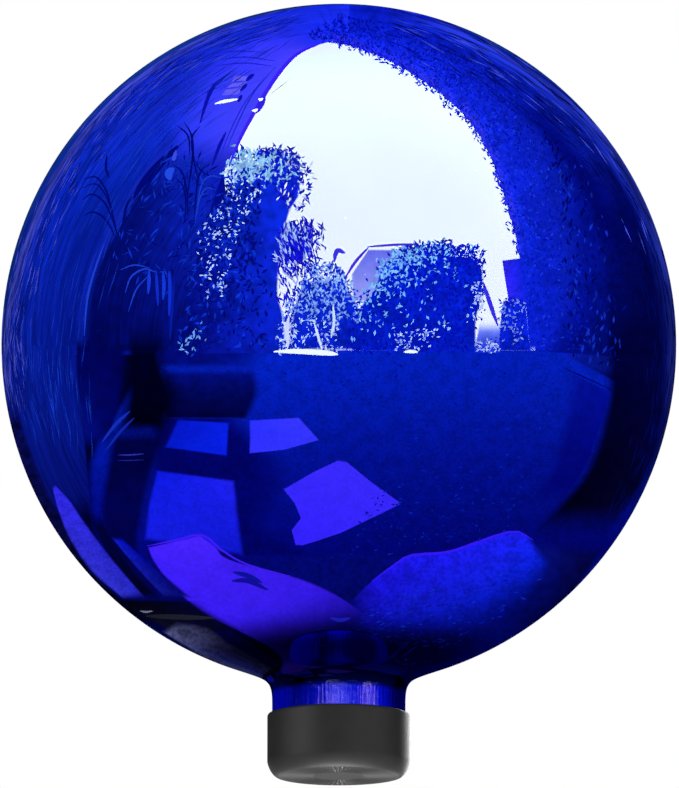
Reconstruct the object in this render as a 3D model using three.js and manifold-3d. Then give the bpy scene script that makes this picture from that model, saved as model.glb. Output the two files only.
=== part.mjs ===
// Mirrored glass gazing globe with a slip-over end cap.
//
// Units are millimetres and +Z is up. The globe stands on its cap with the neck down. The origin is
// the centre of the cap's flat underside, and every piece turns about the Z axis.

import * as THREE from 'three';
import { mergeGeometries, mergeVertices } from 'three/addons/utils/BufferGeometryUtils.js';
import Module from 'manifold-3d';

// Globe, one blown piece of glass: a ball that runs through a tight shoulder into a short neck
const ballDiameter = 254;
const ballHeight = 256.8;
const ballWall = 1.8;
const neckDiameter = 49.8;
const neckWall = 2.6;
const neckLength = 21.9;
const shoulderReach = 18.1;
const shoulderDrop = 16.7;
const ballPullShare = 1;
const neckPullShare = 0.63;

// Silver lining, the mirror film on the inside of the glass
const liningClearance = 0.3;
const liningThickness = 0.25;
const liningEdge = 1.6;

// Neck gasket, the flat washer between the glass rim and the cap's floor
const gasketThickness = 1.6;
const gasketWidth = 3.2;

// End cap, a moulded cup that slips over the neck
const capHeight = 23.4;
const capWall = 1.5;
const capFloor = 3;
const capFit = 0.3;
const capLipRound = 1;
const capLeadIn = 0.3;
const capEdgeReach = 3.4;
const capEdgeHeight = 5.6;
const capEdgePower = 1.5;
const grooveDepth = 0.35;
const grooveStart = 9.5;
const grooveEndMargin = 0.7;
const grooveWidthShare = 0.5;
const grooveCount = 72;

// Facets
const turnSegments = 48;
const ballRings = 20;
const shoulderRings = 8;
const lipRings = 3;
const edgeRings = 5;

// Colours from the photograph
const glassColour = 0x0a18c8;
const silverColour = 0x1c3cff;
const gasketColour = 0x1a1a1a;
const capColour = 0x2c2c2e;

// Places that follow from the sizes
const neckRadius = neckDiameter / 2;
const rimZ = capFloor + gasketThickness;
const neckTopZ = rimZ + neckLength;
const shoulderRadius = neckRadius + shoulderReach;
const shoulderZ = neckTopZ + shoulderDrop;
const shoulderAngle = Math.asin(shoulderRadius / (ballDiameter / 2));
const ballCentreZ = shoulderZ + (ballHeight / 2) * Math.cos(shoulderAngle);
const capBore = neckRadius + capFit;
const capRadius = capBore + capWall;
const capFlatRadius = capRadius - capEdgeReach;

// A surface of revolution about +Z from a profile of (radius, height) points
function turned(profile) {
  const geometry = new THREE.LatheGeometry(profile, turnSegments);
  geometry.rotateX(Math.PI / 2);
  return geometry;
}

// The globe's outer outline, from the crown down to the rim, with the outward normal of each point
// and how far it lies along the way from ball to neck: 0 on the ball and 1 on the neck.
function globeOutline() {
  const a = ballDiameter / 2;
  const c = ballHeight / 2;
  const outline = [];
  for (let i = 0; i <= ballRings; i += 1) {
    const t = Math.PI + (shoulderAngle - Math.PI) * (i / ballRings);
    const radius = i === 0 ? 0 : a * Math.sin(t);
    const normal = new THREE.Vector2(Math.sin(t) / a, -Math.cos(t) / c).normalize();
    if (i === 0) normal.set(0, 1);
    outline.push({ point: new THREE.Vector2(radius, ballCentreZ - c * Math.cos(t)), normal, way: 0 });
  }
  const start = outline[ballRings].point;
  const along = new THREE.Vector2(-a * Math.cos(shoulderAngle), -c * Math.sin(shoulderAngle)).normalize();
  const end = new THREE.Vector2(neckRadius, neckTopZ);
  const curve = new THREE.CubicBezierCurve(
    start,
    start.clone().addScaledVector(along, shoulderReach * ballPullShare),
    new THREE.Vector2(neckRadius, neckTopZ + shoulderDrop * neckPullShare),
    end,
  );
  for (let i = 1; i <= shoulderRings; i += 1) {
    const way = i / shoulderRings;
    const tangent = curve.getTangent(way);
    const normal = new THREE.Vector2(-tangent.y, tangent.x);
    outline.push({ point: curve.getPoint(way), normal, way });
  }
  return outline;
}

// The outline moved inwards along its normals by one depth on the ball and another on the neck,
// and carried straight down the neck to a given height
function insetOutline(outline, ballDepth, neckDepth, bottomZ) {
  const points = outline.map(({ point, normal, way }) => {
    const depth = ballDepth + (neckDepth - ballDepth) * way;
    return point.clone().addScaledVector(normal, -depth);
  });
  points.push(new THREE.Vector2(points[points.length - 1].x, bottomZ));
  return points;
}

// A closed shell between two outlines that both start on the axis at the crown
function shell(outer, inner) {
  return turned([...inner, ...outer.reverse()]);
}

function glassGlobe(outline) {
  const outer = insetOutline(outline, 0, 0, rimZ);
  const inner = insetOutline(outline, ballWall, neckWall, rimZ);
  return shell(outer, inner);
}

function silverLining(outline) {
  const faceZ = rimZ + liningEdge;
  const ballFace = ballWall + liningClearance;
  const neckFace = neckWall + liningClearance;
  const outer = insetOutline(outline, ballFace, neckFace, faceZ);
  const inner = insetOutline(outline, ballFace + liningThickness, neckFace + liningThickness, faceZ);
  return shell(outer, inner);
}

function neckGasket() {
  const inside = neckRadius - gasketWidth;
  return turned([
    new THREE.Vector2(inside, capFloor),
    new THREE.Vector2(neckRadius, capFloor),
    new THREE.Vector2(neckRadius, rimZ),
    new THREE.Vector2(inside, rimZ),
    new THREE.Vector2(inside, capFloor),
  ]);
}

// The cap's cup: a flat foot, a rounded bottom edge, a straight side and a rounded lip
function capCup() {
  const profile = [new THREE.Vector2(0, 0)];
  for (let i = 0; i <= edgeRings; i += 1) {
    const q = (Math.PI / 2) * (1 - i / edgeRings);
    const out = i === 0 ? 0 : Math.cos(q) ** (2 / capEdgePower);
    const down = Math.sin(q) ** (2 / capEdgePower);
    profile.push(new THREE.Vector2(capFlatRadius + capEdgeReach * out, capEdgeHeight * (1 - down)));
  }
  for (let i = 0; i <= lipRings; i += 1) {
    const q = (Math.PI / 2) * (i / lipRings);
    const radius = capRadius - capLipRound * (1 - Math.cos(q));
    profile.push(new THREE.Vector2(radius, capHeight - capLipRound * (1 - Math.sin(q))));
  }
  profile.push(
    new THREE.Vector2(capBore + capLeadIn, capHeight),
    new THREE.Vector2(capBore, capHeight - capLeadIn),
    new THREE.Vector2(capBore, capFloor),
    new THREE.Vector2(0, capFloor),
  );
  return turned(profile);
}

// The radial grooves under the cap, each a wedge that widens outwards with the pitch
function footGrooves() {
  const grooveEnd = capFlatRadius - grooveEndMargin;
  const pitch = (2 * Math.PI) / grooveCount;
  const halfAngle = (pitch * grooveWidthShare) / 2;
  const wedges = [];
  for (let i = 0; i < grooveCount; i += 1) {
    const outline = [];
    for (const [radius, side] of [[grooveStart, -1], [grooveEnd, -1], [grooveEnd, 1], [grooveStart, 1]]) {
      const angle = pitch * i + side * halfAngle;
      outline.push(new THREE.Vector2(radius * Math.cos(angle), radius * Math.sin(angle)));
    }
    const depth = 2 * grooveDepth;
    const wedge = new THREE.ExtrudeGeometry(new THREE.Shape(outline), { depth, bevelEnabled: false });
    wedge.translate(0, 0, -grooveDepth);
    wedges.push(wedge);
  }
  return mergeGeometries(wedges);
}

// A closed mesh as a solid for the cut: shared vertices merged and collapsed triangles dropped
function toSolid(wasm, geometry) {
  const bare = geometry.clone();
  bare.deleteAttribute('normal');
  bare.deleteAttribute('uv');
  const merged = mergeVertices(bare);
  const index = merged.getIndex().array;
  const triangles = [];
  for (let i = 0; i < index.length; i += 3) {
    const [p, q, r] = [index[i], index[i + 1], index[i + 2]];
    if (p !== q && q !== r && r !== p) triangles.push(p, q, r);
  }
  return new wasm.Manifold(new wasm.Mesh({
    numProp: 3,
    vertProperties: new Float32Array(merged.getAttribute('position').array),
    triVerts: new Uint32Array(triangles),
  }));
}

function fromSolid(solid) {
  const mesh = solid.getMesh();
  const geometry = new THREE.BufferGeometry();
  geometry.setAttribute('position', new THREE.BufferAttribute(mesh.vertProperties, 3));
  geometry.setIndex(new THREE.BufferAttribute(mesh.triVerts, 1));
  geometry.computeVertexNormals();
  return geometry;
}

function endCap(wasm) {
  return fromSolid(toSolid(wasm, capCup()).subtract(toSolid(wasm, footGrooves())));
}

function piece(name, geometry, finish) {
  const mesh = new THREE.Mesh(geometry, new THREE.MeshStandardMaterial(finish));
  mesh.name = name;
  return mesh;
}

const wasm = await Module();
wasm.setup();

const outline = globeOutline();
const globe = new THREE.Group();
globe.add(
  piece('glass_globe', glassGlobe(outline), { color: glassColour, roughness: 0.03, metalness: 0.9 }),
  piece('silver_lining', silverLining(outline), { color: silverColour, roughness: 0.05, metalness: 1 }),
);
const cap = new THREE.Group();
cap.add(
  piece('neck_gasket', neckGasket(), { color: gasketColour, roughness: 0.8, metalness: 0 }),
  piece('end_cap', endCap(wasm), { color: capColour, roughness: 0.6, metalness: 0 }),
);

const group = new THREE.Group();
group.add(globe, cap);

export default group;
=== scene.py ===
"""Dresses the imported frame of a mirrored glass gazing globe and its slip-over cap.

Every piece is a surface of revolution about +Z, worked out with numpy in metres. The studio is a pale
floor, soft lights and a set of cards that only the mirror sees.
"""

import math

import bpy
import numpy as np
from mathutils import Matrix, Vector


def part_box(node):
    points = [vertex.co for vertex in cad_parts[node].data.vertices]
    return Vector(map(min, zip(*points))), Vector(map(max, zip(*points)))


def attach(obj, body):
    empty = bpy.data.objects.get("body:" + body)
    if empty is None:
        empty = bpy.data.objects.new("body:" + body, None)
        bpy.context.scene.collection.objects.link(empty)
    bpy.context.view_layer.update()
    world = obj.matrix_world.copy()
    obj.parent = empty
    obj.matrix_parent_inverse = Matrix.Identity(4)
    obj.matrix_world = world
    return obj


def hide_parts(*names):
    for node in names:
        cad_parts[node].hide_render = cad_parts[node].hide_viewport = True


bl_info = {
    "name": "Gazing globe",
    "version": (1, 0, 0),
    "blender": (4, 5, 0),
    "location": "3D View > Sidebar > Gazing globe",
    "description": "Builds a mirrored glass globe with a neck and an end cap, and a small studio",
    "category": "Add Mesh",
}

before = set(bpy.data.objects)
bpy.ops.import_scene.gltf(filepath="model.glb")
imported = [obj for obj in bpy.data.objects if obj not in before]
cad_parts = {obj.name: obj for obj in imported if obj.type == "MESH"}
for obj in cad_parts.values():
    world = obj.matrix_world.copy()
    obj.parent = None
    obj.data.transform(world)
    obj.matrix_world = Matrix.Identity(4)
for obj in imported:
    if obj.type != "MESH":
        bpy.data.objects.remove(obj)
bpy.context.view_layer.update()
GLOBE_LOW, GLOBE_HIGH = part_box("glass_globe")
LINING_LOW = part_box("silver_lining")[0]
GASKET_LOW, GASKET_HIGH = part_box("neck_gasket")
CAP_LOW, CAP_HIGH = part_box("end_cap")

MM = 0.001
FULL_TURN = 2 * math.pi
QUARTER_TURN = math.pi / 2

# Points of each turned piece: round the turn and along its outline
GLOBE_TURNS = 256
BALL_ROWS = 180
SHOULDER_ROWS = 40
NECK_ROWS = 12
INNER_TURNS = 128
INNER_BALL_ROWS = 60
INNER_SHOULDER_ROWS = 16
INNER_NECK_ROWS = 4
RIM_ROWS = 5
WASHER_TURNS = 96
ROUND_ROWS = 5
POINTS_PER_RIB = 12
EDGE_ROWS = 14
SIDE_ROWS = 24
FOOT_ROWS = 36
CARD_ROWS = 37
FLOOR_ROWS = 4
FLOOR_TURNS = 96
SURROUND_ROWS = 48

# A radius under this is on the axis
TINY = 1e-9

# How far up the shoulder's drop its cubic is pulled from the neck
NECK_PULL_SHARE = 0.63

# How steep a groove's walls are, and how near to the foot's level, in shares of its depth, is still foot
RIB_STEEPNESS = 6
FOOT_LEVEL_SHARE = 0.1

# Over this length the slow crossed waves in the blown wall turn by their rates, in radians
WAVE_LENGTH = 100 * MM
WAVE_X_RATE = 5.1
WAVE_X_BEND_RATE = 3.3
WAVE_Y_RATE = 4.3
WAVE_Y_BEND_RATE = 2.9
WAVE_Y_START = 1.7

# The picture that the camera matches, in pixels, and the camera's film on its long side
PICTURE_WIDTH_PX = 679
PICTURE_HEIGHT_PX = 788
FILM_MM = 36

# Outlines of the large cards as the mirror shows them: edges from top to bottom, in pixels of the picture
OPENING_LEFT_PX = (
    (322, 40), (292, 52), (270, 74), (248, 106), (228, 146), (224, 176), (238, 270), (262, 352))
OPENING_RIGHT_PX = (
    (340, 40), (384, 50), (434, 76), (472, 110), (500, 158), (520, 226), (530, 290), (536, 352))
UPPER_LEFT_OUTER_PX = (
    (350, 4), (300, 8), (240, 22), (165, 58), (104, 114), (62, 180), (32, 244), (12, 300), (3, 356))
UPPER_LEFT_INNER_PX = (
    (350, 40), (325, 43), (297, 54), (277, 74), (258, 106), (236, 147), (212, 205), (192, 290),
    (186, 356))
VIOLET_OUTER_PX = ((292, 12), (230, 40), (188, 66), (168, 92), (160, 118), (166, 145), (184, 172))
VIOLET_INNER_PX = ((323, 42), (298, 53), (277, 76), (256, 111), (242, 138), (235, 156), (231, 182))
LEFT_BAND_OUTER_PX = (
    (160, 56), (98, 110), (46, 186), (14, 268), (3, 350), (10, 430), (26, 480), (46, 522))
LEFT_BAND_INNER_PX = (
    (214, 92), (168, 140), (124, 200), (97, 248), (82, 300), (77, 350), (86, 440), (93, 522))
LEFT_RIM_OUTER_PX = ((290, 8), (200, 38), (130, 82), (76, 140), (36, 210), (10, 290), (3, 350), (8, 410))
LEFT_RIM_INNER_PX = (
    (294, 18), (208, 46), (138, 90), (86, 147), (48, 214), (24, 292), (15, 350), (20, 410))
LEFT_DUSK_OUTER_PX = ((176, 146), (142, 180), (116, 222), (92, 262), (80, 300), (74, 352))
LEFT_DUSK_INNER_PX = ((204, 150), (218, 185), (226, 230), (236, 290), (244, 352))
RIGHT_INNER_PX = (
    (306, 36), (335, 42), (369, 52), (407, 71), (442, 95), (469, 121), (490, 156), (507, 205), (519, 256),
    (530, 356))
RIGHT_OUTER_PX = (
    (304, 6), (352, 5), (430, 16), (520, 60), (590, 118), (645, 205), (668, 290), (676, 350), (676, 400))
RIGHT_NEAR_PX = (
    (308, 22), (342, 27), (380, 37), (422, 54), (460, 80), (488, 108), (510, 150), (532, 205), (546, 256),
    (552, 356))
RIGHT_RIM_OUTER_PX = (
    (366, 5), (450, 26), (530, 68), (602, 130), (650, 208), (674, 290), (678, 372), (668, 450),
    (640, 530))
RIGHT_RIM_INNER_PX = (
    (366, 18), (440, 38), (515, 80), (586, 140), (632, 214), (655, 292), (660, 372), (652, 450),
    (624, 526))
RIGHT_DARK_INNER_PX = (
    (576, 150), (598, 230), (604, 300), (602, 345), (602, 392), (592, 440), (577, 476), (550, 508),
    (522, 542))
RIGHT_DARK_OUTER_PX = (
    (606, 150), (646, 230), (668, 300), (675, 345), (674, 392), (667, 430), (654, 470), (632, 505),
    (598, 546))
MIDDLE_LEFT_PX = ((150, 350), (120, 400), (90, 450), (85, 500), (100, 562))
MIDDLE_RIGHT_PX = ((560, 350), (650, 400), (672, 440), (650, 500), (612, 562))
LOW_LEFT_PX = ((86, 546), (110, 590), (150, 626), (210, 662), (262, 690))
LOW_RIGHT_PX = ((614, 546), (580, 590), (536, 626), (470, 662), (414, 690))


class Card:
    """One studio card: its edges in the mirror, in pixels, its layer, and its top and low colours there.

    A colour is one for the whole end, or one for each edge. Grain is how fine its clouds are, streak
    how much of them is arcs, and depth how much they lighten and darken it. Soft is how much of the
    card each margin fades over: one value, or left, right, top and low. Ragged is how far its margin
    is bitten into. An edge with corners runs straight from point to point.
    """

    def __init__(self, name, layer, left_px, right_px, top, low=None, **look):
        self.name = name
        self.layer = layer
        self.left_px = left_px
        self.right_px = right_px
        self.top = np.broadcast_to(top, (2, 3))
        self.low = np.broadcast_to(low or top, (2, 3))
        self.grain = look.get("grain", 30)
        self.streak_share = look.get("streak_share", 0)
        self.depth_share = look.get("depth_share", 0.25)
        self.soft_shares = np.broadcast_to(look.get("soft_shares", 0.02), 4)
        self.ragged_share = look.get("ragged_share", 0)
        self.corners = look.get("corners", False)


# The colours of cards, tufts and strokes are what the mirror shows, from 0 to 255, or over for a glare
CARDS = (
    Card("bright_card", 1, left_px=OPENING_LEFT_PX, right_px=OPENING_RIGHT_PX, top=(231, 254, 266),
         low=(232, 242, 264), soft_shares=0.002, depth_share=0.04, grain=3),
    Card("upper_left_card", 2, left_px=UPPER_LEFT_OUTER_PX, right_px=UPPER_LEFT_INNER_PX,
         top=((32, 56, 232), (30, 48, 255)), low=((6, 30, 150), (4, 20, 160)), streak_share=0.8,
         depth_share=0.24, soft_shares=0.004),
    Card("violet_card", 3, left_px=VIOLET_OUTER_PX, right_px=VIOLET_INNER_PX,
         top=((44, 52, 250), (68, 64, 256)), low=((26, 50, 244), (58, 62, 254)), depth_share=0.1,
         soft_shares=(0.5, 0.02, 0.2, 0.35), streak_share=0.6),
    Card("left_band_card", 4.4, left_px=LEFT_BAND_OUTER_PX, right_px=LEFT_BAND_INNER_PX,
         top=((10, 44, 204), (6, 48, 236)), low=((5, 16, 100), (3, 10, 100)), streak_share=0.95,
         depth_share=0.3, soft_shares=(0.04, 0.05, 0.35, 0.06)),
    Card("left_shade_card", 4.7, left_px=((126, 130), (84, 180), (50, 240), (32, 300), (30, 360),
         (44, 430)), right_px=((176, 132), (139, 180), (102, 240), (82, 300), (78, 360), (84, 430)),
         top=((5, 34, 176), (5, 30, 168)), low=((4, 24, 140), (3, 12, 118)), streak_share=0.8,
         depth_share=0.25, soft_shares=(0.6, 0.08, 0.35, 0.3)),
    Card("left_rim_card", 5, left_px=LEFT_RIM_OUTER_PX, right_px=LEFT_RIM_INNER_PX,
         top=((84, 92, 204), (18, 42, 190)), low=((52, 56, 140), (8, 28, 140)), streak_share=1,
         depth_share=0.5, soft_shares=(0.1, 0.6, 0.2, 0.1)),
    Card("left_dusk_card", 4, left_px=LEFT_DUSK_OUTER_PX, right_px=LEFT_DUSK_INNER_PX,
         top=((3, 14, 128), (11, 46, 226)), low=((0, 1, 72), (4, 16, 130)), grain=24, streak_share=0.5,
         depth_share=0.4, soft_shares=(0.1, 0.3, 0.3, 0.01)),
    Card("left_flat_card", 4, left_px=((74, 336), (79, 400), (86, 450)),
         right_px=((132, 340), (124, 400), (108, 450)), top=(1, 2, 80), low=((3, 12, 130), (0, 1, 76)),
         grain=20, soft_shares=(0.05, 0.2, 0.1, 0.2)),
    Card("left_core_card", 6, left_px=((130, 318), (122, 360), (116, 400), (110, 440)),
         right_px=((166, 318), (170, 360), (190, 400), (168, 440)), top=(0, 1, 38), low=(0, 0, 16),
         soft_shares=(0.25, 0.35, 0.3, 0.15)),
    Card("left_low_card", 5, left_px=((108, 425), (102, 470), (97, 515), (106, 555), (140, 596)),
         right_px=((176, 425), (158, 470), (146, 515), (143, 555), (176, 596)), top=(1, 2, 66),
         low=(1, 2, 74), grain=20, soft_shares=(0.2, 0.2, 0.1, 0.1)),
    Card("right_base_card", 2, left_px=RIGHT_INNER_PX, right_px=RIGHT_OUTER_PX,
         top=((16, 40, 250), (12, 38, 214)), low=((8, 32, 222), (0, 0, 20)), grain=52, depth_share=0.35,
         streak_share=0.2, soft_shares=(0.004, 0.01, 0.06, 0.01), ragged_share=0.003),
    Card("right_near_card", 3, left_px=RIGHT_INNER_PX, right_px=RIGHT_NEAR_PX,
         top=((44, 54, 266), (14, 38, 248)), low=((12, 38, 226), (4, 26, 190)), grain=90,
         depth_share=0.35, soft_shares=(0.004, 0.7, 0.05, 0.2), ragged_share=0.006),
    Card("right_shade_card", 3.2, left_px=((540, 130), (556, 180), (566, 240), (562, 300), (530, 352)),
         right_px=((592, 130), (634, 190), (652, 250), (664, 310), (668, 360)),
         top=((3, 18, 166), (1, 4, 90)), low=((2, 14, 158), (0, 1, 36)), grain=60, depth_share=0.25,
         soft_shares=(0.25, 0.1, 0.35, 0.01)),
    Card("right_rim_card", 5, left_px=RIGHT_RIM_INNER_PX, right_px=RIGHT_RIM_OUTER_PX,
         top=((16, 52, 262), (58, 78, 226)), low=((1, 2, 34), (14, 12, 50)), streak_share=1,
         depth_share=0.6, soft_shares=(0.5, 0.15, 0.2, 0.15)),
    Card("right_fold_card", 3.5, left_px=((470, 84), (516, 116), (552, 156), (580, 200), (600, 256)),
         right_px=((490, 72), (544, 106), (590, 158), (618, 206), (634, 260)), top=(1, 14, 150),
         low=(1, 2, 84), grain=60, depth_share=0.25, soft_shares=(0.4, 0.5, 0.4, 0.2)),
    Card("right_dark_card", 4, left_px=RIGHT_DARK_INNER_PX, right_px=RIGHT_DARK_OUTER_PX,
         top=((0, 1, 70), (1, 3, 76)), low=((0, 0, 6), (3, 2, 34)), depth_share=0.2,
         soft_shares=(0.2, 0.12, 0.5, 0.14)),
    Card("right_flat_card", 5, left_px=((566, 368), (562, 400), (556, 430), (546, 470), (524, 506)),
         right_px=((612, 392), (606, 412), (599, 432), (584, 470), (556, 508)),
         top=((3, 15, 148), (2, 12, 152)), low=(1, 1, 100), depth_share=0.15, grain=40,
         soft_shares=(0.4, 0.04, 0.03, 0.2)),
    Card("middle_base_card", 3, left_px=MIDDLE_LEFT_PX, right_px=MIDDLE_RIGHT_PX,
         top=((3, 36, 196), (3, 28, 182)), low=((1, 3, 116), (1, 2, 96)), grain=110, depth_share=0.22,
         soft_shares=(0.02, 0.02, 0.004, 0.06)),
    Card("low_base_card", 2, left_px=LOW_LEFT_PX, right_px=LOW_RIGHT_PX, top=((2, 4, 110), (2, 10, 118)),
         low=((0, 0, 18), (2, 2, 60)), grain=60, depth_share=0.3, soft_shares=0.01),
    Card("left_strip_card", 5, left_px=((160, 366), (158, 392), (160, 420)),
         right_px=((256, 366), (262, 392), (250, 420)), top=(2, 12, 124), low=(1, 1, 52), grain=50,
         soft_shares=(0.1, 0.1, 0.2, 0.06)),
    Card("left_gap_card", 4, left_px=((150, 418), (146, 470), (150, 530), (236, 560)),
         right_px=((246, 418), (300, 470), (286, 530), (340, 560)), top=((1, 3, 96), (1, 4, 106)),
         low=(1, 2, 92), grain=60, soft_shares=(0.1, 0.3, 0.01, 0.1)),
    Card("left_slope_card", 4, left_px=((152, 346), (150, 356), (150, 372)),
         right_px=((280, 346), (272, 356), (262, 372)), top=(2, 8, 110), low=((1, 8, 110), (3, 22, 150)),
         soft_shares=(0.1, 0.3, 0.1, 0.3)),
    Card("far_patch_left_card", 6, left_px=((177, 419), (163, 448)), right_px=((230, 422), (228, 457)),
         top=((4, 22, 190), (8, 32, 226)), low=((3, 24, 200), (8, 30, 226)), grain=110, depth_share=0.12,
         soft_shares=(0.07, 0.05, 0.07, 0.07), corners=True),
    Card("far_patch_right_card", 6, left_px=((249, 420), (249, 437), (249, 454)),
         right_px=((299, 417), (320, 440), (284, 450)), top=((40, 47, 251), (54, 54, 254)),
         low=(48, 48, 252), grain=110, depth_share=0.1, soft_shares=0.04, corners=True),
    Card("near_patch_left_card", 6, left_px=((156, 469), (147, 505), (143, 541)),
         right_px=((236, 480), (240, 515), (246, 558)), top=((10, 24, 224), (30, 32, 236)),
         low=((20, 26, 222), (12, 20, 200)), grain=120, depth_share=0.16,
         soft_shares=(0.05, 0.07, 0.05, 0.08), corners=True),
    Card("near_patch_right_card", 6, left_px=((341, 459), (312, 472), (281, 489), (293, 503), (300, 518),
         (291, 530), (296, 547)), right_px=((343, 459), (372, 482), (404, 504), (372, 519), (342, 533),
         (318, 541), (300, 546)), top=(56, 42, 252), low=(48, 31, 250), grain=110, depth_share=0.1,
         soft_shares=0.02, ragged_share=0.012, corners=True),
    Card("low_patch_left_card", 7, left_px=((147, 547), (154, 563), (175, 590), (208, 618), (246, 636),
         (290, 656)), right_px=((200, 535), (216, 547), (232, 560), (303, 579), (346, 600), (380, 628)),
         top=((60, 30, 250), (70, 34, 255)), low=((50, 26, 226), (36, 18, 210)), grain=100,
         depth_share=0.12, soft_shares=(0.04, 0.04, 0.03, 0.36)),
    Card("low_patch_right_card", 8, left_px=((346, 606), (372, 580), (394, 564), (412, 554), (448, 551),
         (480, 540), (514, 530), (532, 538)), right_px=((346, 658), (380, 658), (410, 654), (440, 650),
         (474, 638), (506, 618), (540, 590), (552, 560)), top=((26, 16, 226), (1, 6, 110)),
         low=((24, 30, 244), (0, 34, 200)), grain=90, depth_share=0.3, soft_shares=(0.03, 0.5, 0.2, 0.1)),
    Card("right_low_card", 4, left_px=((514, 536), (526, 562), (508, 592), (466, 632)),
         right_px=((610, 540), (582, 584), (546, 618), (500, 648)), top=((4, 16, 140), (4, 3, 46)),
         low=((1, 8, 116), (2, 3, 62)), grain=40, soft_shares=(0.2, 0.1, 0.2, 0.3)),
    Card("left_edge_card", 8, left_px=((0, 384), (8, 430), (22, 480), (44, 522), (80, 571), (120, 606),
         (160, 632)), right_px=((12, 384), (26, 430), (46, 480), (66, 522), (96, 576), (134, 606),
         (176, 632)), top=((14, 16, 84), (4, 8, 90)), low=(2, 2, 16), grain=60, depth_share=0.6,
         soft_shares=(0.02, 0.35, 0.15, 0.1)),
    Card("left_gleam_card", 9, left_px=((52, 486), (58, 512), (70, 541), (92, 573), (124, 600)),
         right_px=((54, 484), (70, 500), (84, 520), (110, 555), (147, 599)),
         top=((46, 38, 222), (48, 42, 240)), low=((56, 58, 196), (36, 38, 186)), grain=120,
         depth_share=0.25, soft_shares=(0.14, 0.12, 0.06, 0.06)),
    Card("left_arc_card", 8, left_px=((86, 508), (100, 542), (118, 572), (142, 600)),
         right_px=((98, 508), (114, 542), (136, 572), (164, 600)), top=(1, 2, 60), low=(2, 2, 34),
         soft_shares=(0.2, 0.3, 0.2, 0.1)),
    Card("lower_gleam_card", 9, left_px=((110, 536), (126, 556), (145, 578), (164, 598)),
         right_px=((120, 536), (147, 560), (172, 580), (196, 600)), top=((14, 30, 200), (2, 6, 160)),
         low=((16, 22, 130), (1, 4, 80)), grain=90, soft_shares=(0.12, 0.2, 0.1, 0.1)),
    Card("lower_wedge_card", 8, left_px=((112, 598), (140, 616), (170, 632)),
         right_px=((196, 600), (222, 616), (250, 632)), top=((3, 2, 10), (2, 3, 40)),
         low=((16, 16, 30), (1, 3, 44)), soft_shares=(0.1, 0.2, 0.1, 0.1)),
    Card("low_grey_card", 9, left_px=((160, 631), (198, 655), (230, 669), (268, 684)),
         right_px=((176, 621), (208, 626), (228, 640), (264, 660)), top=((98, 102, 130), (36, 38, 70)),
         low=((84, 86, 112), (22, 22, 44)), grain=90, depth_share=0.45,
         soft_shares=(0.15, 0.2, 0.08, 0.12)),
    Card("low_dark_card", 8, left_px=((176, 600), (214, 622), (244, 640), (270, 664)),
         right_px=((206, 616), (246, 634), (276, 650), (310, 668)), top=(1, 5, 70), low=(1, 1, 24),
         soft_shares=0.2),
    Card("upper_gleam_card", 9, left_px=((235, 75), (221, 96)), right_px=((251, 76), (238, 95)),
         top=(96, 90, 244), low=(88, 84, 242), depth_share=0.1, soft_shares=0.06, corners=True),
    Card("middle_flat_card", 4, left_px=((368, 249), (351, 274), (352, 302)),
         right_px=((418, 249), (404, 276), (402, 302)), top=(98, 108, 236), low=(150, 158, 246),
         depth_share=0.1, soft_shares=0.04, corners=True),
    Card("lobe_core_card", 6, left_px=((283, 222), (279, 246), (283, 266)),
         right_px=((312, 226), (314, 246), (302, 264)), top=(14, 18, 204), grain=40, depth_share=0.5,
         soft_shares=0.12),
    Card("tall_core_card", 6, left_px=((238, 160), (224, 190), (210, 218), (198, 246), (186, 300),
         (174, 354)), right_px=((290, 164), (301, 190), (290, 212), (284, 240), (280, 266), (279, 296),
         (284, 314), (288, 354)), top=((8, 34, 196), (10, 42, 222)), low=((2, 6, 100), (8, 34, 205)),
         grain=30, depth_share=0.35, soft_shares=(0.12, 0.03, 0.05, 0.005)),
    Card("middle_core_card", 6, left_px=((306, 280), (296, 300), (290, 320), (286, 353)),
         right_px=((342, 278), (356, 300), (366, 322), (374, 353)), top=(8, 40, 210), low=(4, 26, 185),
         grain=40, depth_share=0.5, soft_shares=0.06),
    Card("big_core_card", 7, left_px=((402, 254), (382, 266), (374, 290), (356, 314), (352, 353)),
         right_px=((472, 257), (483, 270), (482, 296), (477, 322), (477, 353)), top=(4, 36, 222),
         low=(3, 26, 182), grain=40, depth_share=0.4, soft_shares=0.02),
    Card("right_core_card", 7, left_px=((503, 300), (500, 320), (498, 353)),
         right_px=((526, 300), (528, 320), (532, 353)), top=(8, 36, 220), low=(4, 28, 200), grain=50,
         depth_share=0.5, soft_shares=0.05),
    Card("right_block_card", 7, left_px=((502, 260), (505, 280), (509, 304)),
         right_px=((524, 257), (526, 280), (530, 304)), top=((44, 32, 232), (10, 34, 220)), grain=90,
         depth_share=0.3, soft_shares=0.03, corners=True),
    Card("right_haze_card", 6, left_px=((480, 320), (476, 336), (472, 353)),
         right_px=((502, 320), (502, 336), (502, 353)), top=(150, 170, 254), low=(14, 40, 220),
         depth_share=0.2, soft_shares=(0.1, 0.1, 0.4, 0.02)),
)


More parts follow.
